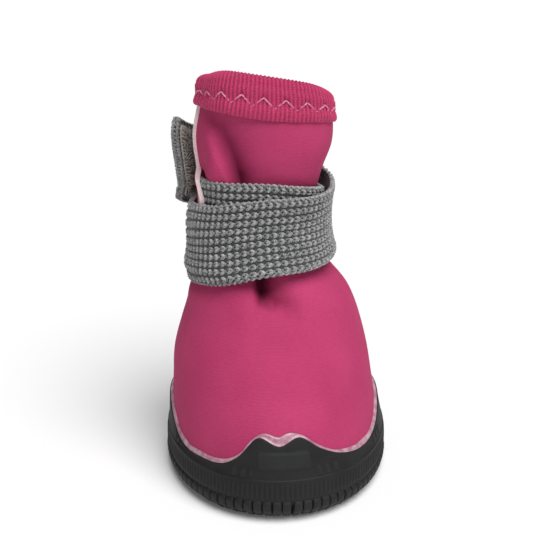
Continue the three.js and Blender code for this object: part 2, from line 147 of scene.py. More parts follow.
# angle from the toe, height as a share of CUP_HEIGHT
CUP_EDGE = [
    (-180, 0.86),
    (-130, 0.86),
    (-90, 0.9),
    (-74, 0.8),
    (-61, 0.63),
    (-50, 0.57),
    (-37, 0.59),
    (-23, 0.64),
    (-16, 0.77),
    (-8, 1.01),
    (0, 0.92),
    (8, 1.01),
    (16, 0.85),
    (24, 0.73),
    (37, 0.64),
    (50, 0.64),
    (61, 0.7),
    (74, 0.83),
    (90, 0.9),
    (130, 0.86),
    (180, 0.86),
]

# angle along the strap, rise as a share of its width, standoff as a share of its thickness
STRAP_PATH = [
    (-83.5, 0.12, 0.0),
    (-40, 0.19, 0.0),
    (0, 0.2, 0.0),
    (90, -0.03, 0.0),
    (180, -0.18, 0.0),
    (275, -0.24, 0.25),
    (315, -0.13, 0.0),
    (360, 0.02, 0.0),
    (420, 0.04, 0.15),
    (450, 0.05, 0.5),
    (480, 0.12, 0.6),
    (540, 0.37, 0.4),
    (575, 0.5, 1.1),
    (600, 0.62, 1.6),
    (622, 0.74, 2.2),
]
STRAP_START = STRAP_PATH[0][0]
STRAP_END = STRAP_PATH[-1][0]

# %% [markdown]
# ## The surfaces that everything lies on
# The same smooth curves through the tables, and the same section of the sock, a superellipse
# that changes with its level. They work on whole arrays of points, which keeps fine meshes quick.

# %% A smooth curve through a table, and the three small functions it is used with
def curve_of(rows, scale=1.0):
    """A smooth curve through a table's rows, read by its first column."""
    table = np.array(rows, float)
    places, values = table[:, 0] * scale, table[:, 1:]
    last = len(places) - 1

    def at(where):
        t = np.clip(np.asarray(where, float), places[0], places[-1])
        one = np.clip(np.searchsorted(places, t, side="right"), 1, last)
        zero = one - 1
        before = np.where(zero > 0, zero - 1, one)
        after = np.where(one < last, one + 1, zero)
        span = places[one] - places[zero]
        p = (t - places[zero]) / span
        back = span / 2 / (places[zero] - places[before])
        on = span / 2 / (places[after] - places[one])
        weights = (
            -back * p**3 + 2 * back * p**2 - back * p,
            (1 + back) * p**3 + (-1.5 - 2 * back) * p**2 + (-0.5 + back) * p + 1,
            (-1 - on) * p**3 + (1.5 + on) * p**2 + 0.5 * p,
            on * p**3 - on * p**2,
        )
        used = (before, zero, one, after)
        return sum(w[..., None] * values[i] for w, i in zip(weights, used))

    return at


def mix(a, b, share):
    return a + (b - a) * share


def spread_out(*arrays):
    """The arrays as floats, each repeated to the shape that they have together."""
    return np.broadcast_arrays(*(np.asarray(array, float) for array in arrays))


def ease(x, low, high):
    """0 up to low, 1 from high on, and a soft ramp between them."""
    t = np.clip((np.asarray(x, float) - low) / (high - low), 0, 1)
    return t * t * (3 - 2 * t)


sock_levels = curve_of(SOCK_LEVELS, COLLAR_HEIGHT)
cup_side = curve_of(CUP_SIDE)
cup_edge = curve_of(CUP_EDGE)
strap_path = curve_of(STRAP_PATH)


# %% The sock's surface
def spring(y, height):
    """How far the toe and the heel are lifted off the floor."""
    reach = np.where(y < 0, TOE_REACH, HEEL_REACH)
    rise = np.where(y < 0, TOE_SPRING, HEEL_SPRING)
    share = np.maximum(0, (np.abs(y) - SPRING_START) / (reach - SPRING_START))
    return rise * share**2 * np.clip(1 - height / SPRING_FADE, 0, 1)


def sock_point(degrees, level, inset=0.0, z=None):
    """Points on the outside of the sock, at degrees round from the toe."""
    z = level if z is None else z
    degrees, level, inset, z = spread_out(degrees, level, inset, z)
    width, toe, heel, middle, lean, square = np.moveaxis(sock_levels(level), -1, 0)
    turn = np.radians(degrees)
    half_width = mix(SHAFT_HALF_WIDTH, FOOT_HALF_WIDTH, width)
    middle_y = mix(SHAFT_MIDDLE, FOOT_MIDDLE, middle)
    front = mix(SHAFT_FRONT, TOE_REACH, toe) + middle_y
    back = mix(SHAFT_BACK, HEEL_REACH, heel) - middle_y
    length = np.where(np.cos(turn) > 0, front, back)
    power = 2 + square
    sideways = np.abs(np.sin(turn)) / half_width
    lengthways = np.abs(np.cos(turn)) / length
    radius = (sideways**power + lengthways**power) ** (-1 / power) - inset
    right, ahead = radius * np.sin(turn), radius * np.cos(turn)
    share = right / half_width
    slant = COLLAR_PEAK * ahead / length - COLLAR_SIDE_DROP * share - COLLAR_CORNER_DROP * share**6
    slanted = z + slant * ease(level, SLANT_START, COLLAR_HEIGHT)
    y = middle_y - ahead
    return np.stack([right - SHAFT_LEAN * lean, y, slanted + spring(y, z)], -1)


def unit(vectors):
    return vectors / np.linalg.norm(vectors, axis=-1, keepdims=True)


def sock_normal(degrees, level):
    across = sock_point(degrees + 0.5, level) - sock_point(degrees - 0.5, level)
    up = sock_point(degrees, level + 0.25) - sock_point(degrees, level - 0.25)
    return unit(np.cross(across, up))


def beside_sock(degrees, level, distance):
    level = np.asarray(level, float)
    moved = sock_normal(degrees, level) * np.asarray(distance, float)[..., None]
    return sock_point(degrees, level) + moved


def lap_height(degrees, level, ease_in_front=0.0):
    """How far the rear panel stands over the front one at the lapped seam."""
    behind = np.mod(LAP_ANGLE - degrees, 360)
    infront = np.mod(degrees - LAP_ANGLE, 360)
    fallen = ease(infront, 0, ease_in_front) if ease_in_front else (infront > 0) * 1.0
    share = np.maximum(1 - ease(behind, 0, LAP_SPAN), 1 - fallen)
    return LAP_STEP * share * ease(level, LAP_FADE_LOW, LAP_FADE_HIGH)


def columns_round(count, crowding=0.38):
    """Turns from -180 to 180 degrees, closer together at the toe."""
    turn = np.linspace(-180, 180, count + 1)
    return turn - crowding * np.degrees(np.sin(np.radians(turn)))


# %% The strap's way round the ankle
def strap_rise(turn):
    return STRAP_HEIGHT + STRAP_WIDTH * strap_path(turn)[..., 0]


def strap_reach(turn):
    climb = strap_rise(turn + 1) - strap_rise(turn - 1)
    return STRAP_WIDTH / 2 * np.hypot(1, climb / (np.radians(2) * SHAFT_HALF_WIDTH))


def strap_under(turn, level):
    """How much of the first turn's thickness the second one has under it."""
    first = turn - 360
    begun = ease(first, STRAP_START - LAP_EASE * 2, STRAP_START - LAP_EASE / 4)
    past = np.abs(level - strap_rise(first)) - strap_reach(first)
    return begun * (1 - ease(past, STRAP_EDGE_ROOM, STRAP_EDGE_ROOM + STRAP_EASE))


def strap_level(turn, across):
    middle = strap_rise(turn)
    drop = across * strap_reach(turn)
    length = np.linalg.norm(sock_point(turn, middle) - sock_point(turn, middle + drop), axis=-1)
    return middle + drop * np.abs(drop) / np.maximum(length, 1e-9)


def strap_point(turn, across, out):
    """Points of the strap: across from -1 to 1, and out from its inner face in mm."""
    turn, across, out = spread_out(turn, across, out)
    level = strap_level(turn, across)
    degrees = np.mod(turn + 180, 360) - 180
    eased = lap_height(degrees, level, LAP_EASE)
    lap = np.where(turn < LAP_ANGLE + 360, lap_height(degrees, level), eased)
    seam = np.where(turn < LAP_ANGLE + LAP_SPAN, 0, lap)
    turn_below = strap_under(turn, level) * (STRAP_THICKNESS + GAP)
    standoff = strap_path(turn)[..., 1] * STRAP_THICKNESS
    return beside_sock(degrees, level, GAP + np.maximum(seam, turn_below) + standoff + out)


# %% The cup's side and edge
def beside_cup(degrees, z, distance):
    z = np.asarray(z, float)
    level = np.maximum(z, SOCK_SIDE)
    moved = sock_normal(degrees, level) * np.asarray(distance, float)[..., None]
    return sock_point(degrees, level, 0.0, z) + moved


def cup_top(degrees):
    return CUP_HEIGHT * cup_edge(degrees)[..., 0]


def steps_of(points):
    """Lengths from the first point on."""
    parts = np.linalg.norm(np.diff(points, axis=0), axis=-1)
    return np.concatenate([[0], np.cumsum(parts)])


EDGE_TURNS = np.linspace(0, 360, 721)
EDGE_LENGTHS = steps_of(beside_cup(EDGE_TURNS, LUG_HEIGHT, 0.0))
LUG_COUNT = round(EDGE_LENGTHS[-1] / LUG_PITCH)

# %% [markdown]
# ## Helpers for the meshes
# Most of the boot is cloth or rubber that follows the sock. Each such piece starts as a plain
# grid, and then every vertex is moved to its place. The piece's UV map holds lengths along the
# cloth in millimetres, so that a knit keeps its size however the surface bends. Where the grid
# comes round to its start, the doubles are merged, which closes the seam.

# %% Reading and marking a mesh
def read_rows(items, name):
    """One property of all the items of a mesh, as rows of three numbers."""
    flat = np.empty(len(items) * 3)
    items.foreach_get(name, flat)
    return flat.reshape(-1, 3)


def mark_painted_light_and_wear(mesh, values):
    """Gives each vertex the number that the materials turn into painted shade, a painted highlight, or wear.
    """
    mark = mesh.attributes.new("painted_light_and_wear", "FLOAT", "POINT")
    mark.data.foreach_set("value", values.astype(np.float32))


def rows_at(table, turn, row):
    """The turns of a grid and the columns of a table at its rows, all in one shape."""
    return np.broadcast_arrays(turn, *np.moveaxis(table[row.astype(int)], -1, 0))


# %% A grid laid on a surface
def laid_grid(name, across, along, place, kind_of=None, painted_light_and_wear_of=None):
    """A grid whose vertices are moved to place(across, along), given in millimetres.

    kind_of gives each face its material, and the last argument marks painted shade, painted highlights and
    wear.
    """
    across, along = np.asarray(across, float), np.asarray(along, float)
    columns, rows = len(across) - 1, len(along) - 1
    maker = bmesh.new()
    bmesh.ops.create_grid(maker, x_segments=columns, y_segments=rows, size=0.5)
    mesh = bpy.data.meshes.new(name)
    maker.to_mesh(mesh)
    spots = read_rows(mesh.vertices, "co")
    i = np.rint((spots[:, 0] + 0.5) * columns).astype(int)
    j = np.rint((spots[:, 1] + 0.5) * rows).astype(int)
    if kind_of:
        centres = read_rows(mesh.polygons, "center")
        a = ((centres[:, 0] + 0.5) * columns).astype(int)
        b = ((centres[:, 1] + 0.5) * rows).astype(int)
        kinds = kind_of((across[a] + across[a + 1]) / 2, (along[b] + along[b + 1]) / 2)
        mesh.polygons.foreach_set("material_index", kinds.astype(np.int32))
    points = place(across[None, :], along[:, None])
    mesh.vertices.foreach_set("co", (points[j, i] * MM).ravel())
    if painted_light_and_wear_of:
        painted_light_and_wear = np.broadcast_to(painted_light_and_wear_of(across[None, :], along[:, None]), points.shape[:2])
        mark_painted_light_and_wear(mesh, painted_light_and_wear[j, i])
    side = np.linalg.norm(np.diff(points, axis=1), axis=-1)
    u = np.concatenate([np.zeros((rows + 1, 1)), np.cumsum(side, axis=1)], axis=1)
    u -= u[:, [np.argmin(np.abs(across))]]
    rise = np.linalg.norm(np.diff(points, axis=0), axis=-1)
    v = np.concatenate([np.zeros((1, columns + 1)), np.cumsum(rise, axis=0)], axis=0)
    corners = np.empty(len(mesh.loops), np.int32)
    mesh.loops.foreach_get("vertex_index", corners)
    cloth = np.stack([u[j, i], v[j, i]], -1)[corners]
    mesh.uv_layers.new(name="cloth").uv.foreach_set("vector", cloth.astype(np.float32).ravel())
    maker.clear()
    maker.from_mesh(mesh)
    bmesh.ops.remove_doubles(maker, verts=maker.verts, dist=1e-7)
    bmesh.ops.recalc_face_normals(maker, faces=maker.faces)
    maker.to_mesh(mesh)
    maker.free()
    return mesh


# %% Closing a mesh's open ends, rounding its edges, ending its making
def close_ends(mesh):
    maker = bmesh.new()
    maker.from_mesh(mesh)
    ends = [edge for edge in maker.edges if edge.is_boundary]
    bmesh.ops.holes_fill(maker, edges=ends, sides=0)
    bmesh.ops.recalc_face_normals(maker, faces=maker.faces)
    maker.to_mesh(mesh)
    maker.free()


def round_edges(maker, edges, radius):
    bmesh.ops.bevel(
        maker,
        geom=list(edges),
        offset=radius * MM,
        segments=3,
        profile=0.5,
        affect="EDGES",
        material=-1,
    )


def made_mesh(maker, name):
    mesh = bpy.data.meshes.new(name)
    maker.to_mesh(mesh)
    maker.free()
    return mesh


# %% Setting a finished mesh up as a piece
def settle(mesh, materials, replaced=(), crease=None):
    """Makes the mesh a piece that rides on the boot, with its materials and its nodes."""
    piece = bpy.data.objects.new(mesh.name, mesh)
    bpy.context.collection.objects.link(piece)
    for number, material in enumerate(materials):
        if number < len(mesh.materials):
            mesh.materials[number] = material
        else:
            mesh.materials.append(material)
    mesh.shade_smooth()
    if crease:
        mesh.set_sharp_from_angle(angle=np.radians(crease))
    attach(piece, "root")
    if replaced:
        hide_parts(*replaced)
    triangles = sum(len(face.vertices) - 2 for face in mesh.polygons)
    print(piece.name, "triangles", triangles)


# %% Round threads along runs of points
def threads(name, runs, radius, sides, material, replaced=()):
    """Round threads along runs of points in millimetres, as one piece with closed ends.

    A fourth column of a run makes its thread thicker or thinner from place to place, and a
    fifth marks where a painted highlight lies on it. The number of sides is even.
    """
    runs = list(runs)
    curve = bpy.data.curves.new(name, "CURVE")
    curve.dimensions = "3D"
    curve.bevel_depth = radius * MM
    curve.bevel_resolution = (sides - 4) // 2
    for run in runs:
        spline = curve.splines.new("POLY")
        spline.points.add(len(run) - 1)
        spline.points.foreach_set("co", np.c_[run[:, :3] * MM, np.ones(len(run))].ravel())
        if run.shape[1] > 3:
            spline.points.foreach_set("radius", run[:, 3])
    holder = bpy.data.objects.new(name, curve)
    bpy.context.collection.objects.link(holder)
    bpy.context.view_layer.update()
    mesh = bpy.data.meshes.new_from_object(holder.evaluated_get(bpy.context.evaluated_depsgraph_get()))
    bpy.data.objects.remove(holder)
    bpy.data.curves.remove(curve)
    mesh.name = name
    if runs[0].shape[1] > 4:
        mark_painted_light_and_wear(mesh, np.repeat(np.concatenate([run[:, 4] for run in runs]), sides))
    close_ends(mesh)
    settle(mesh, [material], replaced)


# %% [markdown]
# ## Helpers for the materials
# One function turns the hex colours into Blender's linear ones. A Finish is a material while it
# is wired: each of its methods adds one node and gives back that node's output.

# %% Colours and nodes
def colour(hex_code):
    channels = np.array([int(hex_code[i : i + 2], 16) for i in (1, 3, 5)]) / 255
    linear = np.where(channels <= 0.04045, channels / 12.92, ((channels + 0.055) / 1.055) ** 2.4)
    return (*linear, 1.0)


# A wave texture's bands are this long at scale 1
WAVE_LENGTH = 2 * np.pi / 20


class Finish:
    """A material while its nodes are wired."""

    def __init__(self, name):
        self.material = bpy.data.materials.new(name)
        self.material.use_nodes = True
        self.tree = self.material.node_tree

    def fill(self, node, sockets):
        """Links or sets a node's sockets. A Mix node has some names several times, one is on."""
        for name, value in sockets.items():
            named = [socket for socket in node.inputs if socket.name == name and socket.enabled]
            socket = named[0] if named else node.inputs[name]
            if isinstance(value, bpy.types.NodeSocket):
                self.tree.links.new(value, socket)
            else:
                socket.default_value = value

    def node(self, kind, output, sockets=None, **settings):
        node = self.tree.nodes.new(kind)
        for name, value in settings.items():
            setattr(node, name, value)
        self.fill(node, sockets or {})
        return next(out for out in node.outputs if out.name == output and out.enabled)

    def place(self):
        return self.node("ShaderNodeTexCoord", "Object")

    def cloth(self):
        return self.node("ShaderNodeUVMap", "UV", uv_map="cloth")

    # The vertex mark: painted shade in the sock's folds, painted highlight and shade on the tape's ribs,
    # painted highlights on the yarns, wear on the rubber
    def painted_light_and_wear(self):
        return self.node("ShaderNodeAttribute", "Fac", attribute_name="painted_light_and_wear")

    def noise(self, where, scale, detail, roughness=0.5):
        sockets = {"Vector": where, "Scale": scale, "Detail": detail, "Roughness": roughness}
        return self.node("ShaderNodeTexNoise", "Fac", sockets)

    def courses(self, where, pitch, distortion, detail):
        """Fine stripes round the boot, pitch millimetres apart."""
        scale = WAVE_LENGTH / pitch
        sockets = {"Vector": where, "Scale": scale, "Distortion": distortion, "Detail Scale": detail}
        return self.node("ShaderNodeTexWave", "Fac", sockets, bands_direction="Y")

    def weighted(self, value, weight, more):
        """The value times its weight, plus more."""
        return self.node("ShaderNodeMath", "Value", {0: value, 1: weight, 2: more}, operation="MULTIPLY_ADD")

    def spread(self, value, low, high, start=0.0, end=1.0):
        """The range from low to high, spread from start to end."""
        sockets = {"Value": value, "From Min": low, "From Max": high, "To Min": start, "To Max": end}
        return self.node("ShaderNodeMapRange", "Result", sockets)

    def ramp(self, value, dark, light, low=0.0, high=1.0):
        output = self.node("ShaderNodeValToRGB", "Color", {"Fac": value})
        for stop, position, tint in zip(output.node.color_ramp.elements, (low, high), (dark, light)):
            stop.position = position
            stop.color = colour(tint)
        return output

    def mixed(self, factor, tone, tint):
        sockets = {"Factor": factor, "A": tone, "B": colour(tint)}
        return self.node("ShaderNodeMix", "Result", sockets, data_type="RGBA")

    def bump(self, height, strength, distance):
        sockets = {"Height": height, "Strength": strength, "Distance": distance * MM}
        return self.node("ShaderNodeBump", "Normal", sockets)

    def shade(self, sockets):
        """Fills the shader itself and gives back the finished material."""
        self.fill(self.tree.nodes["Principled BSDF"], sockets)
        return self.material


# %% [markdown]
# ## Neoprene faced with jersey
# The sock is cut from 2.5 mm foam rubber with a nylon jersey glued on both faces. The jersey is
# matt with a soft sheen at grazing angles, and its courses run round the boot. They are 0.4 mm
# apart on the real cloth, too fine to show, so they are drawn 0.9 mm apart and faint. Slow
# patches a few centimetres wide make the dyed cloth uneven.

# %% Jersey, cut foam and lining
def jersey(name, dark, light):
    """Nylon jersey: matt, faintly striped along its courses, with painted shade deep in a fold."""
    finish = Finish(name)
    cloth = finish.cloth()
    stretched = finish.node("ShaderNodeMapping", "Vector", {"Vector": cloth, "Scale": (0.45, 1.3, 1.0)})
    grain = finish.weighted(finish.courses(cloth, 0.9, 2.0, 1.5), 0.12, finish.noise(stretched, 1.6, 3.0))
    uneven = finish.weighted(finish.noise(finish.place(), 55.0, 2.0), 1.3, grain)
    tone = finish.ramp(finish.spread(uneven, 0.75, 1.85), dark, light)
    return finish.shade(
        {
            # Painted shade: the colour goes toward a dark maroon where the folds are deep
            "Base Color": finish.mixed(finish.painted_light_and_wear(), tone, "#521230"),
            "Roughness": 0.85,
            "Specular IOR Level": 0.12,
            "Sheen Weight": 0.05,
            "Sheen Roughness": 0.4,
            "Sheen Tint": colour("#e5709a"),
            "Normal": finish.bump(grain, 0.3, 0.25),
        }
    )


def cut_foam():
    """Neoprene foam where it was cut: pale, matt, with tiny open cells about 0.4 mm across."""
    finish = Finish("foam_neoprene_cut")
    cells = finish.node("ShaderNodeTexVoronoi", "Distance", {"Vector": finish.place(), "Scale": 2200.0})
    return finish.shade(
        {
            "Base Color": finish.ramp(cells, "#d6b4ba", "#ecd9da", 0.0, 0.7),
            "Roughness": 0.9,
            "Normal": finish.bump(cells, 0.4, 0.2),
        }
    )


jersey_outside = jersey("jersey_nylon_dyed", "#ab3560", "#c04470")
jersey_inside = jersey("jersey_nylon_lining", "#8f2a50", "#a2355c")
foam_edge = cut_foam()

# %% [markdown]
# ## The neoprene sock
# The real sock is a soft tube with thick walls. It could be sculpted, but its folds are few and
# known, so each one is a short table: a way over the cloth with a depth and the width of its two
# sides. One grid goes from the turned-in margin up the outside, over the rim and down the
# inside, so the wall has its real thickness everywhere.

# %% The folds
# A degree round the ankle in mm, for measuring across a fold
DEGREE = 0.33

# turn, level, depth, width of the right side, width of the left side
SHAFT_FOLD = [
    (-74, 109.5, 0.0, 4.0, 4.0),
    (-60, 106.3, 1.8, 5.0, 3.4),
    (-50, 102.8, 3.2, 6.0, 2.2),
    (-41, 98.0, 4.6, 6.5, 1.2),
    (-35, 94.4, 5.0, 6.5, 0.6),
    (-30, 90.2, 5.2, 6.0, 0.5),
    (-26, 85.0, 4.4, 5.0, 0.8),
    (-22, 78.0, 0.0, 4.0, 2.0),
]
ANKLE_PIT = [
    (-4, 72.0, 0.0, 2.8, 1.6),
    (-4, 66.0, 6.0, 3.0, 1.1),
    (-4.6, 61.5, 6.0, 2.8, 0.8),
    (-5.4, 58.6, 3.6, 2.4, 0.8),
    (-6.2, 56.0, 1.2, 2.2, 1.0),
    (-8, 49.0, 0.5, 2.2, 1.4),
    (-9.5, 40.0, 0.0, 2.2, 1.6),
]
INSTEP_TROUGH = [
    (2, 64.0, 2.2, 3.5, 3.2),
    (5, 58.0, 2.0, 4.0, 4.0),
    (7, 53.9, 1.5, 5.0, 4.6),
    (9.5, 47.8, 0.9, 6.0, 5.5),
    (12, 36.0, 0.0, 6.0, 6.0),
]
INSTEP_LIP = [
    (-3, 58.6, 0.0, 1.4, 1.6),
    (3, 57.4, 1.9, 1.6, 1.8),
    (10, 56.2, 1.6, 2.0, 2.2),
    (20, 55.0, 0.0, 2.6, 2.6),
]
# turn, level, height, width along the turn and up the level
BULGES = [
    (-46, 92.0, 1.6, 4.0, 6.0),
    (12, 101.0, 0.6, 9.0, 8.0),
    (26, 57.0, 0.9, 6.0, 5.0),
    (-20, 57.5, 0.9, 4.0, 5.0),
    (70, 100.0, 0.5, 8.0, 7.0),
    (18, 84.5, -2.1, 13.0, 11.5),
]

# How round a fold's bottom is, and how straight the right sides of the two deep ones are
FOLD_ROUND = 0.35
SHAFT_SHARPNESS = 1.25
PIT_SHARPNESS = 1.4
SHADE_SHARPNESS = 1.6
# The depths at which the painted shade in the three folds is full, and how dark the darkest painted shade is
SHAFT_DARK, PIT_DARK, TROUGH_DARK = 6.5, 7, 14
DARKEST = 0.75
SLOW_WAVES = 0.14


def fold(turn, level, rows, sharpness=2.0):
    """How deep a fold presses into the cloth: a way over it, with two soft sides.

    A low sharpness makes the right side a straight ramp down to the fold's bottom.
    """
    table = np.array(rows, float)
    spots = np.stack(np.broadcast_arrays(turn * DEGREE, level), -1)
    route = table[:, :2] * (DEGREE, 1)
    nearest = np.full(spots.shape[:-1], np.inf)
    depth = np.zeros(spots.shape[:-1])
    for start, end, here, there in zip(route[:-1], route[1:], table[:-1, 2:], table[1:, 2:]):
        way = end - start
        off = spots - start
        share = np.clip(off @ way / (way @ way), 0, 1)[..., None]
        distance = np.linalg.norm(off - share * way, axis=-1)
        right = way[0] * off[..., 1] - way[1] * off[..., 0] > 0
        deep, right_width, left_width = np.moveaxis(mix(here, there, share), -1, 0)
        width = np.where(right, right_width, left_width)
        closer = distance < nearest
        nearest = np.where(closer, distance, nearest)
        rounded = np.hypot(distance, FOLD_ROUND) - FOLD_ROUND
        pressed = deep * np.exp(-((rounded / width) ** np.where(right, sharpness, 2)))
        depth = np.where(closer, pressed, depth)
    return depth


def fold_shade(turn, row):
    """Painted shade in the bottoms of the folds, up to DARKEST in the deepest."""
    turn, _, _, level, distance = rows_at(SOCK_ROWS, turn, row)
    deep = fold(turn, level, SHAFT_FOLD, SHADE_SHARPNESS) / SHAFT_DARK
    deep = deep + fold(turn, level, ANKLE_PIT, SHADE_SHARPNESS) / PIT_DARK
    deep = deep + fold(turn, level, INSTEP_TROUGH) / TROUGH_DARK
    return np.clip(deep, 0, 1) ** 1.4 * DARKEST * (distance == 0) * (level > 0)


def cloth_relief(turn, level):
    """How far the cloth stands out from the plain sock: its folds, its bulges, its slow waves."""
    relief = -fold(turn, level, SHAFT_FOLD, SHAFT_SHARPNESS) - fold(turn, level, ANKLE_PIT, PIT_SHARPNESS)
    relief = relief - fold(turn, level, INSTEP_TROUGH) - fold(turn, level, INSTEP_LIP)
    for place, height, rise, wide, tall in BULGES:
        sideways, upward = (turn - place) * DEGREE / wide, (level - height) / tall
        relief = relief + rise * np.exp(-(sideways**2) - upward**2)
    slow = np.sin(np.radians(3 * turn) + level / 11) * np.sin(level / 9 + 1)
    slow = slow + 0.6 * np.sin(np.radians(5 * turn) - level / 7)
    return relief + SLOW_WAVES * slow * ease(level, 26, 40)


# %% The rows of the sock, from its margin up the outside and down the inside
CORNER_ANGLES = np.radians(np.linspace(0, 90, 8))
OUTSIDE_LEVELS = np.concatenate(
    [
        np.linspace(SOCK_SIDE, 50, 36, endpoint=False),
        np.linspace(50, 68, 36, endpoint=False),
        np.linspace(68, 86, 14, endpoint=False),
        np.linspace(86, 108, 34, endpoint=False),
        np.linspace(108, COLLAR_HEIGHT, 6),
    ]
)
INSIDE_LEVELS = np.linspace(COLLAR_HEIGHT, SOCK_SIDE, 46)


def corner_rows(radius, angles):
    """Inset and height over the floor round the bottom corner."""
    return [(SOLE_CORNER - radius * np.sin(a), SOLE_CORNER - radius * np.cos(a)) for a in angles]


margin = [(SOLE_CORNER + LASTING_MARGIN, 0.0), (SOLE_CORNER + LASTING_MARGIN / 2, 0.0)]
lining_margin = [(inset, WALL) for inset, _ in reversed(margin)]
# inset, height over the floor, level, distance; a row is on the side where its level isn't 0
lining = corner_rows(SOLE_CORNER - WALL, CORNER_ANGLES[-2::-1]) + lining_margin
sock_rows = (
    [(inset, rise, 0, 0) for inset, rise in margin + corner_rows(SOLE_CORNER, CORNER_ANGLES[:-1])]
    + [(0, 0, level, 0) for level in OUTSIDE_LEVELS]
    + [(0, 0, level, -WALL) for level in INSIDE_LEVELS]
    + [(inset, rise, 0, -WALL) for inset, rise in lining]
    + [(SOLE_CORNER + LASTING_MARGIN, 0.0, 0, 0)]
)
SOCK_ROWS = np.array(sock_rows, float)

# The rear panel's cut edge: where it goes over the strap's first turn it is lifted, thinner, and
# further round. Four columns make the edge: its top, its foot, back under it, and the front panel,
# whose own edge is rolled up against it.
HALF_EDGE = np.degrees(LAP_EDGE / 2 / SHAFT_HALF_WIDTH)
FLAP_LIFT = 1.3
FLAP_REACH = 30.0
FLAP_SPAN = 50
# The levels between which the flap opens, closes, and the front panel's roll begins
FLAP_OPENS = (79.0, 81.2)
FLAP_CLOSES = (88.3, 90.8)
ROLL_BEGINS = (89.4, 91.5)
FRONT_ROLL = 1.1
ROLL_SPAN = 8
# The levels between which the flap's overhang and the bare foam at its end get narrower
OVERHANG_NARROWS = (81, 90)
OVERHANG_TAPER = 0.35
FOAM_END_NARROWS = (81, 88)
FOAM_END_SPAN = 5
FOAM_END_LEVEL = 78
EDGE_COLUMNS = np.array([0.0, 1 / 3, 2 / 3, 1.0])
EDGE_HEIGHT = np.array([1.0, 0.08, 0.04, 0.0])
EDGE_LIFT = np.array([1.0, 1.67, 1.67, 0.0])
EDGE_REACH = np.array([1.0, 1.02, 0.04, 0.0])
EDGE_ROLL = np.array([0.0, 0.9, 1.0, 1.0])


def flap(turn, level):
    """Where the flap brings each point round to, and how high over the front panel it stands."""
    behind = np.mod(LAP_ANGLE - HALF_EDGE - turn, 360)
    infront = np.mod(turn - LAP_ANGLE + HALF_EDGE / 3, 360)
    over = ease(level, *FLAP_OPENS) * (1 - ease(level, *FLAP_CLOSES))
    rolled = FRONT_ROLL * np.exp(-((infront / ROLL_SPAN) ** 2)) * ease(level, *ROLL_BEGINS)
    column = (turn - LAP_ANGLE + HALF_EDGE) / (2 * HALF_EDGE)
    at_edge = (column > -0.01) & (column < 1.01)
    full = LAP_STEP * ease(level, LAP_FADE_LOW, LAP_FADE_HIGH)
    height = lap_height(turn, level) + FLAP_LIFT * over * (1 - ease(behind, 0, FLAP_SPAN))
    height = height + np.where(infront < 180, rolled, 0)
    edge_height = full * np.interp(column, EDGE_COLUMNS, EDGE_HEIGHT)
    edge_height = edge_height + FLAP_LIFT * over * np.interp(column, EDGE_COLUMNS, EDGE_LIFT)
    edge_height = edge_height + rolled * np.interp(column, EDGE_COLUMNS, EDGE_ROLL)
    round_by = FLAP_REACH * over * (1 - OVERHANG_TAPER * ease(level, *OVERHANG_NARROWS))
    reach = round_by * (1 - ease(behind, 0, FLAP_SPAN))
    edge_reach = round_by * np.interp(column, EDGE_COLUMNS, EDGE_REACH)
    return turn + np.where(at_edge, edge_reach, reach), np.where(at_edge, edge_height, height)


# %% The sock as one grid
def place_sock(turn, row):
    turn, inset, rise, level, distance = rows_at(SOCK_ROWS, turn, row)
    under = sock_point(turn, SOCK_SIDE, inset, SOCK_FLOOR + rise)
    height = np.maximum(level, SOCK_SIDE)
    outside = distance > -WALL / 2
    relief = cloth_relief(turn, height)
    round_to, stands = flap(turn, height)
    outer = beside_sock(round_to, height, relief + stands)
    inner = beside_sock(turn, height, distance + np.minimum(relief, GAP))
    side = np.where(outside[..., None], outer, inner)
    return np.where((level > 0)[..., None], side, under)


def sock_finish(turn, row):
    """0 the jersey outside, 1 the cut foam of the lap and the rim, 2 the lining."""
    turn, _, _, level, distance = rows_at(SOCK_ROWS, turn, row)
    lap = (np.abs(turn - LAP_ANGLE + HALF_EDGE * 2 / 3) < HALF_EDGE / 3) & (level > LAP_FADE_LOW + 2)
    behind = LAP_ANGLE - HALF_EDGE - turn
    end_span = FOAM_END_SPAN * (1 - ease(level, *FOAM_END_NARROWS))
    end = (behind > 0) & (behind < end_span) & (level > FOAM_END_LEVEL)
    cut = (lap | end | (level == COLLAR_HEIGHT)) & (distance == 0)
    return np.where(cut, 1, np.where(distance < 0, 2, 0))


SOCK_COLUMNS, SOCK_CROWDING = 358, 0.42
sock_turns = columns_round(SOCK_COLUMNS, SOCK_CROWDING)
sock_turns = sock_turns[np.abs(sock_turns - LAP_ANGLE) > HALF_EDGE * 1.3]
sock_turns = np.sort(np.append(sock_turns, LAP_ANGLE + HALF_EDGE * (2 * EDGE_COLUMNS - 1)))
sock_mesh = laid_grid(
    "neoprene_sock", sock_turns, np.arange(len(SOCK_ROWS)), place_sock, sock_finish, fold_shade
)
settle(sock_mesh, [jersey_outside, foam_edge, jersey_inside], ["upper"], crease=50)

# %% [markdown]
# ## The collar's binding
# A rib-knit tape is folded over the rim and sewn down with a zigzag. Its ribs stand 1.15 mm
# apart, wide enough to see, so they are real relief: four columns of the grid to a rib. The seam
# pulls a soft channel into the tape, and each needle hole is a small dimple.

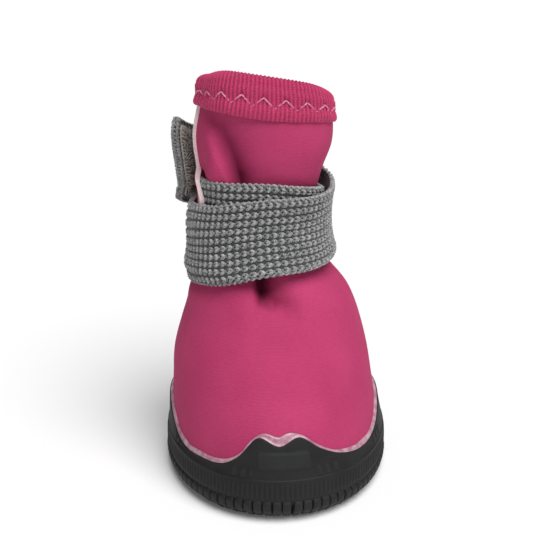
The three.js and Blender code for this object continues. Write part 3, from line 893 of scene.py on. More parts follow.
# %% Rib-knit tape and thread
def knit_tape():
    """Polyester rib tape: brighter than the jersey, matt, a painted highlight on each rib's crown and painted
    shade between the ribs.
    """
    finish = Finish("rib_knit_polyester")
    cloth = finish.cloth()
    grain = finish.weighted(finish.courses(cloth, 0.7, 1.5, 2.0), 0.15, finish.noise(cloth, 1.6, 3.0))
    # Painted highlight and shade: the rib wave makes each crown paler and each gap between the ribs darker
    ribbed = finish.weighted(finish.painted_light_and_wear(), 0.35, grain)
    return finish.shade(
        {
            "Base Color": finish.ramp(finish.spread(ribbed, 0.1, 1.05), "#8e1c46", "#cc3f6f"),
            "Roughness": 0.75,
            "Specular IOR Level": 0.3,
            "Sheen Weight": 0.2,
            "Sheen Tint": colour("#f29abb"),
            "Normal": finish.bump(grain, 0.5, 0.2),
        }
    )


def sewing_thread():
    """Twisted polyester thread: a little glossier than the cloth, twist about 0.5 mm."""
    finish = Finish("polyester_thread_pink")
    twist = finish.noise(finish.place(), 1800.0, 2.0)
    return finish.shade(
        {
            "Base Color": finish.ramp(twist, "#b85078", "#e596b2", 0.35, 0.65),
            "Roughness": 0.4,
            "Normal": finish.bump(twist, 0.5, 0.1),
        }
    )


tape_finish = knit_tape()
pink_thread = sewing_thread()

# %% The tape's turns, ribs and seam
RIB_PITCH = 1.15
RIB_RELIEF = 0.17
STITCH_PITCH = 6.0
# The two rows of needle holes and the channel between them, as shares of the way down the tape
SEAM_TOP = 0.45
SEAM_BOTTOM = 0.70
SEAM_MIDDLE = 0.57
SEAM_DEPTH = 0.38
SEAM_WIDTH = 1.3
TOP_HOLE_DEPTH = 0.85
BOTTOM_HOLE_DEPTH = 0.4
HOLE_WIDTH = 0.55
TAPE_THICKNESS = 0.6
# How far the tape's lower edge is tucked in, rounded off, and pulled into waves by its stitches
EDGE_TUCK = 0.3
EDGE_ROLL_IN = 0.3
EDGE_SCALLOP = 0.12
TUCK_START = 0.75
INNER_TUCK = 0.35

fine_turns = np.linspace(-180, 180, 1441)
collar_lengths = steps_of(beside_sock(fine_turns, COLLAR_HEIGHT, 1.0))
COLLAR_ROUND = collar_lengths[-1]
RIB_COUNT = round(COLLAR_ROUND / RIB_PITCH)
STITCH_COUNT = round(COLLAR_ROUND / STITCH_PITCH)
tape_turns = np.interp(np.linspace(0, COLLAR_ROUND, 4 * RIB_COUNT + 1), collar_lengths, fine_turns)
FIRST_HOLE = np.interp(-7.0, fine_turns, collar_lengths)
hole_lengths = np.mod(FIRST_HOLE + np.arange(STITCH_COUNT) * COLLAR_ROUND / STITCH_COUNT, COLLAR_ROUND)


def skirt(turn):
    """How far the tape comes down outside."""
    frontness = (0.5 + 0.5 * np.cos(np.radians(turn))) ** 2
    return BINDING_HEIGHT + BINDING_FRONT_EXTRA * frontness


def collar_length(turn):
    return np.interp(turn, fine_turns, collar_lengths)


def rib_wave(turn):
    """1 on top of a rib and -1 between two."""
    return np.cos(2 * np.pi * RIB_COUNT * collar_length(turn) / COLLAR_ROUND)


def seam_channel(turn, down):
    return -SEAM_DEPTH * np.exp(-(((down - SEAM_MIDDLE) * skirt(turn) / SEAM_WIDTH) ** 2))


def nearest_stitch(turn, shift):
    """Distance along the collar to the nearest needle hole, shifted by a share of a stitch."""
    pitch = COLLAR_ROUND / STITCH_COUNT
    return np.mod(collar_length(turn) - FIRST_HOLE - shift * pitch + pitch / 2, pitch) - pitch / 2


def tape_relief(turn, down):
    """Ribs, the seam's channel, the needle holes and the tucked lower edge, in mm."""
    holes = 0
    for place, shift, depth in ((SEAM_TOP, 0.0, TOP_HOLE_DEPTH), (SEAM_BOTTOM, 0.5, BOTTOM_HOLE_DEPTH)):
        away = np.hypot(nearest_stitch(turn, shift), (down - place) * skirt(turn))
        holes = holes - depth * np.exp(-((away / HOLE_WIDTH) ** 2))
    scallop = EDGE_SCALLOP * np.cos(2 * np.pi * nearest_stitch(turn, 0.5) / STITCH_PITCH)
    edge = (scallop - EDGE_TUCK) * ease(down, TUCK_START, 1.0)
    rounded = -EDGE_ROLL_IN * np.clip((down - 0.93) / 0.07, 0, 1) ** 2
    rib = RIB_RELIEF * rib_wave(turn) * (1 - 0.6 * ease(down, 0.9, 1))
    return rib + seam_channel(turn, down) + holes + edge + rounded


def place_on_tape(turn, down, distance):
    """Points on the outer skirt: down is 0 at the fold and 1 at the lower edge."""
    level = COLLAR_HEIGHT - down * skirt(turn)
    lap = lap_height(turn, level, LAP_EASE)
    return beside_sock(turn, level, distance + lap)


FOLD_START = 1.4
FAR = GAP + BINDING_THICKNESS


def place_tape(turn, row):
    """The outer skirt, the fold, the inner skirt, and the same way back inside the tape."""
    turn, row = np.broadcast_arrays(turn, row)
    back = row > 2.5
    way = np.where(back, 5 - row, row)
    sunk = np.where(back, TAPE_THICKNESS, 0.0)
    fall = skirt(turn)
    down = np.clip(1 - way, 0, 1) * (1 - FOLD_START / fall) + FOLD_START / fall
    tucked = -INNER_TUCK * ease(down, TUCK_START, 1.0)
    outer = place_on_tape(turn, down, FAR - sunk + np.where(back, tucked, tape_relief(turn, down)))
    level = np.full(turn.shape, COLLAR_HEIGHT)
    lap = lap_height(turn, level, LAP_EASE)
    arc = np.pi * np.clip(way - 1, 0, 1)
    high, low = FAR + lap - sunk, -WALL - FAR + sunk
    rib = np.where(back, 0, RIB_RELIEF * rib_wave(turn))
    middle, half = (high + low) / 2, (high - low) / 2 + rib
    over = beside_sock(turn, level, middle + half * np.cos(arc))
    over[..., 2] += -FOLD_START + (FOLD_START + FAR - sunk + rib) * np.sin(arc)
    fallen = FOLD_START + np.clip(way - 2, 0, 1) * (BINDING_INNER_HEIGHT - FOLD_START)
    inner = beside_sock(turn, COLLAR_HEIGHT - fallen, low - rib)
    first = (way < 1)[..., None]
    last = (way > 2)[..., None]
    return np.where(first, outer, np.where(last, inner, over))


# Rows down the outer skirt from its lower edge, over the fold, down inside, and the way back
OUTER_DOWNS = [1.0, 0.97, 0.92, 0.86, 0.8, 0.75, 0.7, 0.65, 0.6, 0.55, 0.5, 0.45, 0.4, 0.34, 0.26, 0.18, 0.09]
tape_rows = np.concatenate(
    [
        1 - np.array(OUTER_DOWNS),
        np.linspace(1, 2, 15),
        np.linspace(2, 2.5, 9)[1:],
        np.linspace(2.5001, 3, 5),
        np.linspace(3, 4, 9)[1:],
        np.linspace(4, 5, 8)[1:],
        [0.0],
    ]
)
# The rib wave marks the painted highlight on each crown and the painted shade between the ribs
tape_mesh = laid_grid(
    "collar_tape", tape_turns, tape_rows, place_tape, painted_light_and_wear_of=lambda turn, row: rib_wave(turn)
)
settle(tape_mesh, [tape_finish], ["collar_binding"], crease=60)

# %% The zigzag thread
THREAD_RADIUS = 0.25
THREAD_SUNK = 0.62
THREAD_ARCH = 0.66


def zigzag_runs():
    """Each leg of the zigzag comes up out of one hole, lies on the tape and goes down the next."""
    pitch = COLLAR_ROUND / STITCH_COUNT
    share = np.linspace(0, 1, 9)
    lift = THREAD_ARCH * np.sin(np.pi * share**2.2) - THREAD_SUNK
    down = mix(SEAM_BOTTOM, SEAM_TOP, share)
    for start in hole_lengths:
        for lean in (-0.5, 0.5):
            length = start + lean * pitch * (1 - share)
            turn = np.interp(np.mod(length, COLLAR_ROUND), collar_lengths, fine_turns)
            yield place_on_tape(turn, down, FAR + seam_channel(turn, down) + RIB_RELIEF + lift)


threads("collar_zigzag", zigzag_runs(), THREAD_RADIUS, 8, pink_thread)

# %% [markdown]
# ## The knit elastic strap
# The strap is ten rows of thick grey yarn with dark gaps between them and small loops along both
# edges. Each row is a chain of small Vs. A woven pattern in a material would look flat at this
# size, so the yarns are real: two plies side by side for each row, which swell, rise and swing
# apart once for every V. Finer yarns cross them, a thin dark band behind them closes the view
# between the rows, and the free end is overlocked.

# %% Yarn, the band behind it and hook tape
def yarn(name, dark, light, bump):
    """Textured polyester yarn: matt, fuzzy, with painted highlights on its beads."""
    finish = Finish(name)
    place = finish.place()
    fibre = finish.noise(place, 1900.0, 3.0, 0.65)
    both = finish.weighted(finish.noise(place, 260.0, 1.0), 0.14, fibre)
    spread = finish.spread(both, 0.4, 0.74)
    # Painted highlight: a pale tint wherever the thread's mark is high
    specks = finish.node("ShaderNodeMath", "Value", {0: finish.painted_light_and_wear(), 1: spread}, operation="MULTIPLY")
    return finish.shade(
        {
            "Base Color": finish.mixed(specks, finish.ramp(spread, dark, light), "#c9cac9"),
            "Roughness": 0.8,
            "Specular IOR Level": 0.3,
            "Sheen Weight": 0.3,
            "Normal": finish.bump(fibre, bump, 0.25),
        }
    )


grey_yarn = yarn("polyester_yarn_grey", "#444545", "#999a99", 0.9)
inlay_yarn = yarn("polyester_yarn_inlaid", "#4a4c4c", "#8a8c8b", 0.8)
core_yarn = yarn("elastic_core_dark", "#303132", "#4a4b4c", 0.5)
hook_nylon = yarn("hook_tape_nylon", "#6f6e68", "#b0b0a8", 0.6)

# %% The strap's lengths
ROW_COUNT = 10
ROW_PITCH = 2.26
CHAIN_PITCH = 2.1
EDGE_LOOP_PITCH = 3.5
PLY_RADIUS = 0.51
# How far a ply is from the middle of its row, and how much it swings, rises and swells in a V
PLY_APART = 0.3
PLY_SWING = 0.3
PLY_LIFT = 0.24
PLY_SWELL = 0.2
PLY_OUT = 1.3
PLY_THICKNESS = 0.84
# How pale the painted highlight on a bead's crown is
PLY_HIGHLIGHT = 0.9
# How far the crossing yarns and the dark band stop short of the strap's edges
SHORT_OF_EDGE = 0.6
INLAY_RADIUS = 0.42
EDGE_YARN_RADIUS = 0.42
END_YARN_RADIUS = 0.5
# The yarn round the free end: its turns, and how far each goes along the strap and out from it
END_WINDS = 26
END_WIND_REACH = 1.2
END_WIND_OUT = 1.05
# Points of a ply for each V
LOOP_STEPS = 6
HALF_STRAP = STRAP_WIDTH / 2

strap_turns = np.linspace(STRAP_START, STRAP_END, 2001)
strap_lengths = steps_of(strap_point(strap_turns, 0.0, 1.0))
yarn_count = round(strap_lengths[-1] / (CHAIN_PITCH / LOOP_STEPS)) + 1
yarn_lengths = np.linspace(0, strap_lengths[-1], yarn_count)
yarn_turns = np.interp(yarn_lengths, strap_lengths, strap_turns)
print("Strap length, mm", strap_lengths[-1])


# %% The strap's yarns
def yarn_runs():
    """Two plies side by side for each row, whose beads lean together in a chain of small Vs."""
    phase = 2 * np.pi * np.arange(yarn_count) / LOOP_STEPS
    swell = PLY_THICKNESS + PLY_SWELL * np.sin(phase)
    # A painted highlight on the crown of each bead
    painted_highlight = PLY_HIGHLIGHT * np.clip(np.sin(phase), 0, 1) ** 3
    for row in range(ROW_COUNT):
        middle = (row - (ROW_COUNT - 1) / 2) * ROW_PITCH
        for side in (-1, 1):
            across = (middle + side * (PLY_APART + PLY_SWING * np.cos(phase))) / HALF_STRAP
            points = strap_point(yarn_turns, across, PLY_OUT + PLY_LIFT * np.sin(phase))
            yield np.c_[points, swell, painted_highlight]


def inlay_runs():
    """Yarns laid across the band between the beads, which tie the rows together."""
    over_under = np.cos(np.pi * np.arange(2 * ROW_COUNT + 1))
    across = np.linspace(-1, 1, 2 * ROW_COUNT + 1) * (1 - SHORT_OF_EDGE / HALF_STRAP)
    for length in np.arange(0.75 * CHAIN_PITCH, strap_lengths[-1] - 0.5, CHAIN_PITCH):
        turns = np.interp(length + 0.1 * CHAIN_PITCH * over_under, strap_lengths, strap_turns)
        yield strap_point(turns, across, 0.85 + 0.15 * over_under)


def edge_runs():
    """A looped yarn along each edge."""
    for side in (-1, 1):
        phase = 2 * np.pi * yarn_lengths / EDGE_LOOP_PITCH
        across = side * (HALF_STRAP - 0.7 + 0.5 * np.abs(np.cos(phase))) / HALF_STRAP
        points = strap_point(yarn_turns, across, 1.0 + 0.5 * np.sin(2 * phase))
        # The last column lays a painted highlight on each loop
        yield np.c_[points, np.ones(len(points)), 0.8 * np.cos(phase) ** 4]


def end_runs():
    """The free end is overlocked: a yarn wound over the cut rows, and two more along it."""
    place = np.linspace(-1, 1, 6 * END_WINDS + 1)
    phase = np.pi * END_WINDS * (place + 1)
    corner = 1 - ease(np.abs(place), 0.8, 1.0) * 0.12
    turns = STRAP_END + END_WIND_REACH * corner * np.cos(phase) - 1.0
    points = strap_point(turns, place * (1 - 0.4 / HALF_STRAP), 1.0 + END_WIND_OUT * np.sin(phase))
    # The last columns lay faint painted highlights on the winds and on the yarns along the end
    yield np.c_[points, np.full(len(place), 0.8), 0.2 + 0.2 * np.sin(phase)]
    along = np.linspace(-1, 1, 61)
    wave = 0.12 * np.cos(np.pi * END_WINDS * along)
    turns = STRAP_END + 0.7 - 2.0 * ease(np.abs(along), 0.85, 1.0)
    for out in (0.35, 1.65):
        points = strap_point(turns, along * 0.98, out + wave)
        yield np.c_[points, 0.85 + wave, np.full(61, 0.2)]


threads("strap_knit", yarn_runs(), PLY_RADIUS, 6, grey_yarn, ["strap"])
threads("strap_inlays", inlay_runs(), INLAY_RADIUS, 4, inlay_yarn)
threads("strap_edges", edge_runs(), EDGE_YARN_RADIUS, 6, grey_yarn)
threads("strap_end", end_runs(), END_YARN_RADIUS, 8, grey_yarn)


# %% The band behind the yarns and the hook tape, both laid along the strap
BAND_COLUMNS = 13


def band(name, start, end, half_width, low, high, step=1.5):
    """A flat closed band along the strap, its two faces low and high out from the inner side."""
    lengths = np.interp([start, end], strap_turns, strap_lengths)
    count = max(2, round((lengths[1] - lengths[0]) / step))
    turns = np.interp(np.linspace(*lengths, count + 1), strap_lengths, strap_turns)
    shares = np.concatenate([np.linspace(-1, 1, BAND_COLUMNS), np.linspace(1, -1, BAND_COLUMNS), [-1]])
    outs = np.concatenate([np.full(BAND_COLUMNS, low), np.full(BAND_COLUMNS, high), [low]])

    def place(turn, row):
        row = row.astype(int)
        return strap_point(turn, shares[row] * half_width / HALF_STRAP, outs[row])

    mesh = laid_grid(name, turns, np.arange(len(shares)), place)
    close_ends(mesh)
    return mesh


PATCH_START = STRAP_END - np.degrees(PATCH_LENGTH / SHAFT_HALF_WIDTH)
PATCH_FACE = -1.5 * GAP
core_mesh = band("strap_core", STRAP_START + 0.5, STRAP_END - 0.5, HALF_STRAP - SHORT_OF_EDGE, 0.5, 1.35)
settle(core_mesh, [core_yarn])
hook_base_mesh = band(
    "hook_tape", PATCH_START, STRAP_END, PATCH_WIDTH / 2, PATCH_FACE - 0.5, PATCH_FACE, step=0.8
)
settle(hook_base_mesh, [hook_nylon], ["hook_patch"])

# %% The hooks, small bent wires in staggered rows
HOOK_RADIUS = 0.15
HOOK_COLUMNS = 20
HOOKS_ACROSS = 22
HOOK_MARGIN = 0.8
HOOK_STAGGER = 0.6
# How far a hook is moved at random, in mm across and in degrees along
HOOK_SHIFT = 0.15
HOOK_TURN = 0.8
HOOK_OUT = 0.45
# sideways, and out from the tape
HOOK_BEND = np.array([(0.0, 0.0), (0.0, -0.5), (0.12, -0.78), (0.35, -0.86), (0.52, -0.7)])


def hook_runs():
    bend = HOOK_BEND[:, 0]
    draws = np.random.default_rng(4)
    for column, turn in enumerate(np.linspace(PATCH_START + 0.5, STRAP_END - 0.5, HOOK_COLUMNS)):
        for side in np.linspace(-1, 1, HOOKS_ACROSS):
            shift = HOOK_STAGGER * (column % 2) + draws.uniform(-HOOK_SHIFT, HOOK_SHIFT)
            middle = side * (PATCH_WIDTH / 2 - HOOK_MARGIN) + shift
            across = (middle + bend * draws.choice((-1, 1))) / HALF_STRAP
            turns = turn + draws.uniform(-HOOK_TURN, HOOK_TURN) + bend * draws.uniform(-1, 1)
            yield strap_point(turns, across, PATCH_FACE - HOOK_OUT + HOOK_BEND[:, 1])


threads("hook_wires", hook_runs(), HOOK_RADIUS, 4, hook_nylon)

# %% [markdown]
# ## The rubber cup
# One moulding makes the sole and the cup round the foot. Its section goes from the middle of the
# underside out, up the ribbed side, over a small step, up a smooth band to the wavy edge, and
# down inside. That is a lathe turned round an oval whose top edge rises and falls, so a grid
# with one column for every half degree takes the place of a spin.

# %% Moulded rubber
def moulded_rubber():
    """Black rubber out of a spark-eroded mould: matt, a 0.4 mm grain, worn paler on its edges."""
    finish = Finish("rubber_moulded_black")
    place = finish.place()
    dust = finish.noise(place, 90.0, 4.0, 0.6)
    worn = finish.weighted(finish.painted_light_and_wear(), 0.5, dust)
    return finish.shade(
        {
            "Base Color": finish.ramp(worn, "#131314", "#262728", 0.3, 0.9),
            "Roughness": finish.spread(dust, 0.0, 1.0, 0.55, 0.8),
            "IOR": 1.52,
            "Specular IOR Level": 0.3,
            "Normal": finish.bump(finish.noise(place, 1300.0, 3.0), 0.35, 0.2),
        }
    )


rubber = moulded_rubber()

# %% The relief of the cup's side
RIB_SPACING = EDGE_LENGTHS[-1] / (4 * LUG_COUNT)
RIBS_LOW, RIBS_HIGH, RIBS_OUT = 7.2, 11.4, 0.2
GROOVE_HEIGHT, GROOVE_WIDTH, GROOVE_DEPTH = 12.0, 0.35, 0.2
BARS_LOW, BARS_HIGH, BARS_OUT = 13.3, 15.6, 0.32
BAR_TURNS = [(13.5, 22.0), (-20.5, -11.0), (50.0, 64.0), (-64.0, -50.0)]
PLATE_LEFT, PLATE_RIGHT = -8.2, 11.0
PLATE_LOW, PLATE_HIGH, PLATE_OUT = 15.9, 20.1, 0.38
# How softly the relief begins and ends, round the boot and up it
SOFT_ROUND, SOFT_UP = 1.2, 0.5


def edge_length(turn):
    return np.interp(np.mod(turn, 360), EDGE_TURNS, EDGE_LENGTHS)


def between(x, low, high, soft):
    """1 between low and high, with soft ends."""
    return ease(x, low - soft / 2, low + soft / 2) * (1 - ease(x, high - soft / 2, high + soft / 2))


def cup_relief(turn, z):
    """Moulded relief in mm: fine ribs low down, a groove, short bars, and the bare toe plate."""
    along = edge_length(turn)
    ribs = RIBS_OUT * np.cos(2 * np.pi * along / RIB_SPACING) * between(z, RIBS_LOW, RIBS_HIGH, 1.2)
    groove = -GROOVE_DEPTH * np.exp(-(((z - GROOVE_HEIGHT) / GROOVE_WIDTH) ** 2))
    wave = ease(0.5 + 0.5 * np.cos(2 * np.pi * along / (2 * RIB_SPACING)), 0.35, 0.65)
    bars = 0.0
    for low, high in BAR_TURNS:
        here = between(turn, low, high, SOFT_ROUND) * between(z, BARS_LOW, BARS_HIGH, SOFT_UP)
        bars = bars + BARS_OUT * wave * here
    plate = between(turn, PLATE_LEFT, PLATE_RIGHT, 0.8) * between(z, PLATE_LOW, PLATE_HIGH, SOFT_UP)
    return ribs + groove + bars + PLATE_OUT * plate


# %% The rows of the cup
STEP = CUP_STEP_HEIGHT + CUP_STEP / 2
side_rows = cup_side(np.linspace(0, 4, 40))
step_rows = np.array([(12.42, 2.06), (12.56, 1.96), (12.66, 1.78), (12.8, 1.7)])
# share of the way from the step to the top edge, out from the sock
lip_curve = curve_of([(0, 1.7), (0.45, 1.18), (0.85, 0.9), (1.0, 0.85)])
lip_side = np.linspace(0.04, 0.94, 22)
LIP_TOP = [(0.975, 0.84), (0.993, 0.72), (1.0, 0.5), (1.0, 0.25), (1.0, 0.0)]
lip_rows = np.concatenate([np.c_[lip_side, lip_curve(lip_side)], LIP_TOP])
# kind, a, b: 0 under the floor, 1 the side, 2 the lip, 3 the inner wall, 4 the seat
cup_rows = (
    [(0, share, LUG_HEIGHT) for share in (0.0, 0.4, 0.8, 0.93)]
    + [(1, z, out) for z, out in np.concatenate([side_rows, step_rows])]
    + [(2, share, out) for share, out in lip_rows]
    + [(3, share, 0.0) for share in (0.95, 0.8, 0.6, 0.4, 0.2, 0.0)]
    + [(4, inset, rise) for inset, rise in corner_rows(SOLE_CORNER + GAP, CORNER_ANGLES[-2::-1])]
    + [(0, share, CUP_FLOOR) for share in (0.6, 0.3, 0.0)]
)
CUP_ROWS = np.array(cup_rows, float)
CENTRE = np.array([0.0, FOOT_MIDDLE, 0.0])


def place_cup(turn, row):
    turn, kind, a, b = rows_at(CUP_ROWS, turn, row)
    foot = sock_point(turn, SOCK_SIDE, 0.0, b)
    flat = CENTRE + (foot - CENTRE) * a[..., None] * (1, 1, 0)
    flat[..., 2] = b + (foot[..., 2] - b) * ease(a, 0.5, 0.95)
    top = cup_top(turn)
    z = np.where(kind == 1, a, mix(STEP, top, a))
    relief = np.where((kind == 1) | ((kind == 2) & (a < 0.97)), cup_relief(turn, z), 0)
    side = beside_cup(turn, z, GAP + b + relief)
    inner = beside_sock(turn, mix(SOCK_SIDE, top, a), np.full(turn.shape, GAP))
    seat = sock_point(turn, SOCK_SIDE, a, SOCK_FLOOR + b)
    placed = [flat, side, side, inner, seat]
    return np.select([(kind == k)[..., None] for k in range(5)], placed)


def cup_raised(turn, row):
    """Marks the ribs, bars and plate that stand out, which are worn a little paler."""
    turn, kind, a, _ = rows_at(CUP_ROWS, turn, row)
    z = np.where(kind == 1, a, mix(STEP, cup_top(turn), a))
    return np.where((kind == 1) | (kind == 2), cup_relief(turn, z), 0)


CUP_COLUMNS, CUP_CROWDING = 720, 0.3
cup_turns = columns_round(CUP_COLUMNS, CUP_CROWDING)
cup_mesh = laid_grid("rubber_cup", cup_turns, np.arange(len(CUP_ROWS)), place_cup, painted_light_and_wear_of=cup_raised)
settle(cup_mesh, [rubber], ["outsole"], crease=60)

# %% The lugs round the edge, each one moulded as two fingers
FINGER_WIDTH = 2.5
FINGER_SPREAD = 1.35
EDGE_ROUND = 0.5


def lug_turns():
    wanted = EDGE_LENGTHS[-1] * np.arange(LUG_COUNT) / LUG_COUNT
    return EDGE_TURNS[np.searchsorted(EDGE_LENGTHS, wanted - 1e-9)]


def add_finger(maker, degrees, shift):
    """One finger: its profile as a face, pulled along the sole's edge, with rounded edges."""
    proud = GAP + CUP_WALL + LUG_PROUD
    profile = [
        (-LUG_LENGTH, 0.0),
        (-GAP, 0.0),
        (proud - LUG_PROUD, 0.45 * LUG_CLIMB),
        (proud, 0.8 * LUG_CLIMB),
        (proud - 1.8 * LUG_PROUD, LUG_CLIMB),
        (-LUG_LENGTH, LUG_HEIGHT + FLOOR_THICKNESS / 3),
    ]
    out = sock_normal(float(degrees), float(SOCK_SIDE))
    out = Vector((out[0], out[1], 0)).normalized()
    along = Vector((-out.y, out.x, 0))
    corners = []
    for distance, z in profile:
        point = Vector(sock_point(degrees, SOCK_SIDE, 0.0, z))
        corners.append(maker.verts.new((point + out * distance + along * (shift - FINGER_WIDTH / 2)) * MM))
    face = maker.faces.new(corners)
    pulled = bmesh.ops.extrude_face_region(maker, geom=[face])["geom"]
    moved = [part for part in pulled if isinstance(part, bmesh.types.BMVert)]
    bmesh.ops.translate(maker, verts=moved, vec=along * FINGER_WIDTH * MM)
    round_edges(maker, {edge for vert in corners + moved for edge in vert.link_edges}, EDGE_ROUND)


lug_maker = bmesh.new()
for turn in lug_turns():
    for shift in (-FINGER_SPREAD, FINGER_SPREAD):
        add_finger(lug_maker, turn, shift)
bmesh.ops.recalc_face_normals(lug_maker, faces=lug_maker.faces)
settle(made_mesh(lug_maker, "sole_lugs"), [rubber], crease=45)


# %% The studs under the floor
def stud_places():
    row_pitch = STUD_PITCH * np.sin(np.radians(60))
    room = LUG_LENGTH + STUD_RADIUS + STUD_MARGIN
    rows = int(np.ceil(HEEL_REACH / row_pitch))
    most = int(np.ceil(FOOT_HALF_WIDTH / STUD_PITCH))
    for row in range(-rows, rows + 1):
        for i in range(-most, most + 1):
            x = (i + 0.5 * (row % 2)) * STUD_PITCH
            y = FOOT_MIDDLE + row * row_pitch
            reach = TOE_REACH + FOOT_MIDDLE if y < FOOT_MIDDLE else HEEL_REACH - FOOT_MIDDLE
            if np.hypot(x / (FOOT_HALF_WIDTH - room), (y - FOOT_MIDDLE) / (reach - room)) <= 1:
                yield x, y


stud_maker = bmesh.new()
stud_height = LUG_HEIGHT + FLOOR_THICKNESS / 3
for x, y in stud_places():
    placed = Matrix.Translation(Vector((x, y, stud_height / 2)) * MM)
    bmesh.ops.create_cone(
        stud_maker,
        cap_ends=True,
        segments=6,
        radius1=STUD_RADIUS * MM,
        radius2=STUD_RADIUS * MM,
        depth=stud_height * MM,
        matrix=placed,
    )
round_edges(stud_maker, stud_maker.edges, EDGE_ROUND)
settle(made_mesh(stud_maker, "sole_studs"), [rubber], crease=45)

# %% [markdown]
# ## The glue line
# Where the sock goes into the cup, a strip of primer and glue shows above the rubber: pale, a
# little glossy, uneven in width, and heaped up in the notch between the two tongues. It is a
# thin closed ribbon on the cloth, with a rounded face.

# %% Dried glue
def dried_glue():
    """Dried contact glue on roughed cloth: half clear, so pink shows through its pale skin."""
    finish = Finish("contact_glue_dried")
    blot = finish.noise(finish.place(), 420.0, 4.0)
    return finish.shade(
        {
            "Base Color": finish.ramp(blot, "#a06c7e", "#c3a0ac", 0.35, 0.62),
            "Roughness": 0.35,
            "Coat Weight": 0.3,
            "Coat Roughness": 0.2,
            "Normal": finish.bump(blot, 0.6, 0.3),
        }
    )


GLUE_RISE = 0.65
NOTCH_RISE, NOTCH_TURN = 1.7, 7.5
DIP_RISE, DIP_TURN, DIP_SPAN = 0.5, 42, 17
# height over the cup's edge as a share of the strip's own height where it is over 0, and out
GLUE_SECTION = np.array(
    [
        (-0.9, 0.05),
        (-0.9, 0.7),
        (-0.3, 1.0),
        (0.08, 0.8),
        (0.35, 0.45),
        (0.7, 0.5),
        (0.92, 0.36),
        (1.0, 0.15),
        (1.0, -0.25),
        (-0.9, 0.05),
    ]
)


def glue_height(turn):
    """The strip's height over the rubber: uneven, and taller in the notch at the toe."""
    uneven = 0.1 * np.sin(np.radians(turn * 11)) + 0.08 * np.sin(np.radians(turn * 26 + 40))
    notch = NOTCH_RISE * (1 - ease(np.abs(turn), NOTCH_TURN * 0.3, NOTCH_TURN * 1.2))
    dips = DIP_RISE * np.exp(-(((np.abs(turn) - DIP_TURN) / DIP_SPAN) ** 2))
    return GLUE_RISE + uneven + notch + dips


def place_glue(turn, row):
    turn, up, out = rows_at(GLUE_SECTION, turn, row)
    level = cup_top(turn) + np.where(up > 0, up * glue_height(turn), up)
    return beside_sock(turn, level, out)


glue_mesh = laid_grid("glue_line", cup_turns, np.arange(len(GLUE_SECTION)), place_glue)
settle(glue_mesh, [dried_glue()])

# %% [markdown]
# ## The insole
# A thin foam board with a felt face lies on the sock's turned-in margin. Little of it shows down
# the shaft, so a plain crowned board with a rounded edge is enough.

# %% Foam board
def foam_board():
    """Felt-faced foam board: dark grey, matt, fibres about 1 mm long."""
    finish = Finish("foam_board_felt")
    felt = finish.noise(finish.place(), 900.0, 5.0)
    return finish.shade(
        {
            "Base Color": finish.ramp(felt, "#2c2c2e", "#56565a", 0.3, 0.7),
            "Roughness": 0.95,
            "Normal": finish.bump(felt, 0.5, 0.3),
        }
    )


BOARD_LOW = SOCK_FLOOR + WALL + GAP
BOARD_TOP = BOARD_LOW + INSOLE_THICKNESS
BOARD_EDGE = SOLE_CORNER + 0.4
PLUG_EDGE = SOLE_CORNER + LASTING_MARGIN + GAP
# inset, z, share of the radius kept
INSOLE_ROWS = np.array(
    [
        (PLUG_EDGE, SOCK_FLOOR, 0.0),
        (PLUG_EDGE, SOCK_FLOOR, 1.0),
        (PLUG_EDGE, BOARD_LOW, 1.0),
        (BOARD_EDGE, BOARD_LOW, 1.0),
        (BOARD_EDGE - 0.25, BOARD_LOW + 0.5, 1.0),
        (BOARD_EDGE - 0.25, BOARD_LOW + 1.2, 1.0),
        (BOARD_EDGE + 0.2, BOARD_LOW + 1.8, 1.0),
        (BOARD_EDGE + 1.2, BOARD_TOP, 1.0),
        (BOARD_EDGE + 6.0, BOARD_TOP, 1.0),
        (BOARD_EDGE + 6.0, BOARD_TOP, 0.5),
        (BOARD_EDGE + 6.0, BOARD_TOP, 0.0),
    ]
)


def place_insole(turn, row):
    turn, inset, z, kept = rows_at(INSOLE_ROWS, turn, row)
    points = sock_point(turn, SOCK_SIDE, inset, z)
    placed = CENTRE + (points - CENTRE) * kept[..., None]
    placed[..., 2] = mix(z, points[..., 2], kept)
    return placed


insole_mesh = laid_grid("foam_insole", columns_round(120), np.arange(len(INSOLE_ROWS)), place_insole)
settle(insole_mesh, [foam_board()], ["insole"], crease=50)

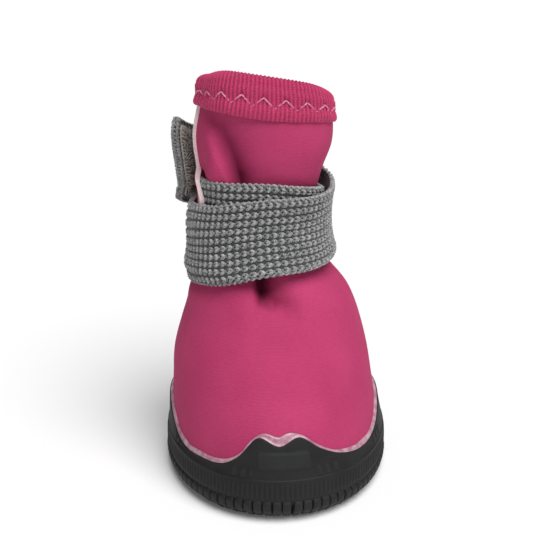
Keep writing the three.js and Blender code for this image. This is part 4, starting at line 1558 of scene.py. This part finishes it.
# %% [markdown]
# ## Floor, light and camera
# The photograph has a plain white ground and soft light that comes mostly from the upper right.
# Two broad suns light near and far alike, so that the floor stays even, and a pale sky fills the
# shadows.

# %% The floor
floor_maker = bmesh.new()
bmesh.ops.create_grid(floor_maker, x_segments=1, y_segments=1, size=6.0)
floor_mesh = made_mesh(floor_maker, "studio_floor")
floor = bpy.data.objects.new("studio_floor", floor_mesh)
bpy.context.collection.objects.link(floor)
paper = Finish("studio_paper_white")
paper_sockets = {
    "Base Color": paper.ramp(paper.node("ShaderNodeTexNoise", "Fac", {"Scale": 3.0}), "#eeeeee", "#f4f4f4"),
    "Roughness": 0.9,
    "Specular IOR Level": 0.0,
    "Emission Color": colour("#ffffff"),
    "Emission Strength": 0.06,
}
floor_mesh.materials.append(paper.shade(paper_sockets))

# %% The light
world = bpy.data.worlds.new("studio_sky")
world.use_nodes = True
sky = world.node_tree.nodes["Background"].inputs
sky["Color"].default_value = colour("#ffffff")
sky["Strength"].default_value = 0.12
bpy.context.scene.world = world


def add_sun(name, toward, strength, softness):
    """A broad sun, which shines on the boot from the side that the vector toward points to."""
    sun = bpy.data.lights.new(name, "SUN")
    sun.energy = strength
    sun.angle = np.radians(softness)
    holder = bpy.data.objects.new(name, sun)
    holder.rotation_euler = Vector(toward).to_track_quat("Z", "Y").to_euler()
    bpy.context.collection.objects.link(holder)


add_sun("key_light", (0.24, -0.42, 1.0), 3.3, 45)
add_sun("fill_light", (0.2, -1.0, 0.35), 0.25, 80)

# %% The camera, at the photograph's angle
EYE = Vector((-0.01266, -0.30214, 0.1652))
AIM = Vector((0.0, 0.0, 0.0585))
camera_data = bpy.data.cameras.new("photo_camera")
camera_data.lens = 70.0
camera_data.sensor_width = 36.0
camera_data.clip_start = 0.01
camera = bpy.data.objects.new("photo_camera", camera_data)
camera.location = EYE
camera.rotation_euler = (EYE - AIM).to_track_quat("Z", "Y").to_euler()
bpy.context.collection.objects.link(camera)
bpy.context.scene.camera = camera
bpy.context.scene.view_settings.view_transform = "Standard"
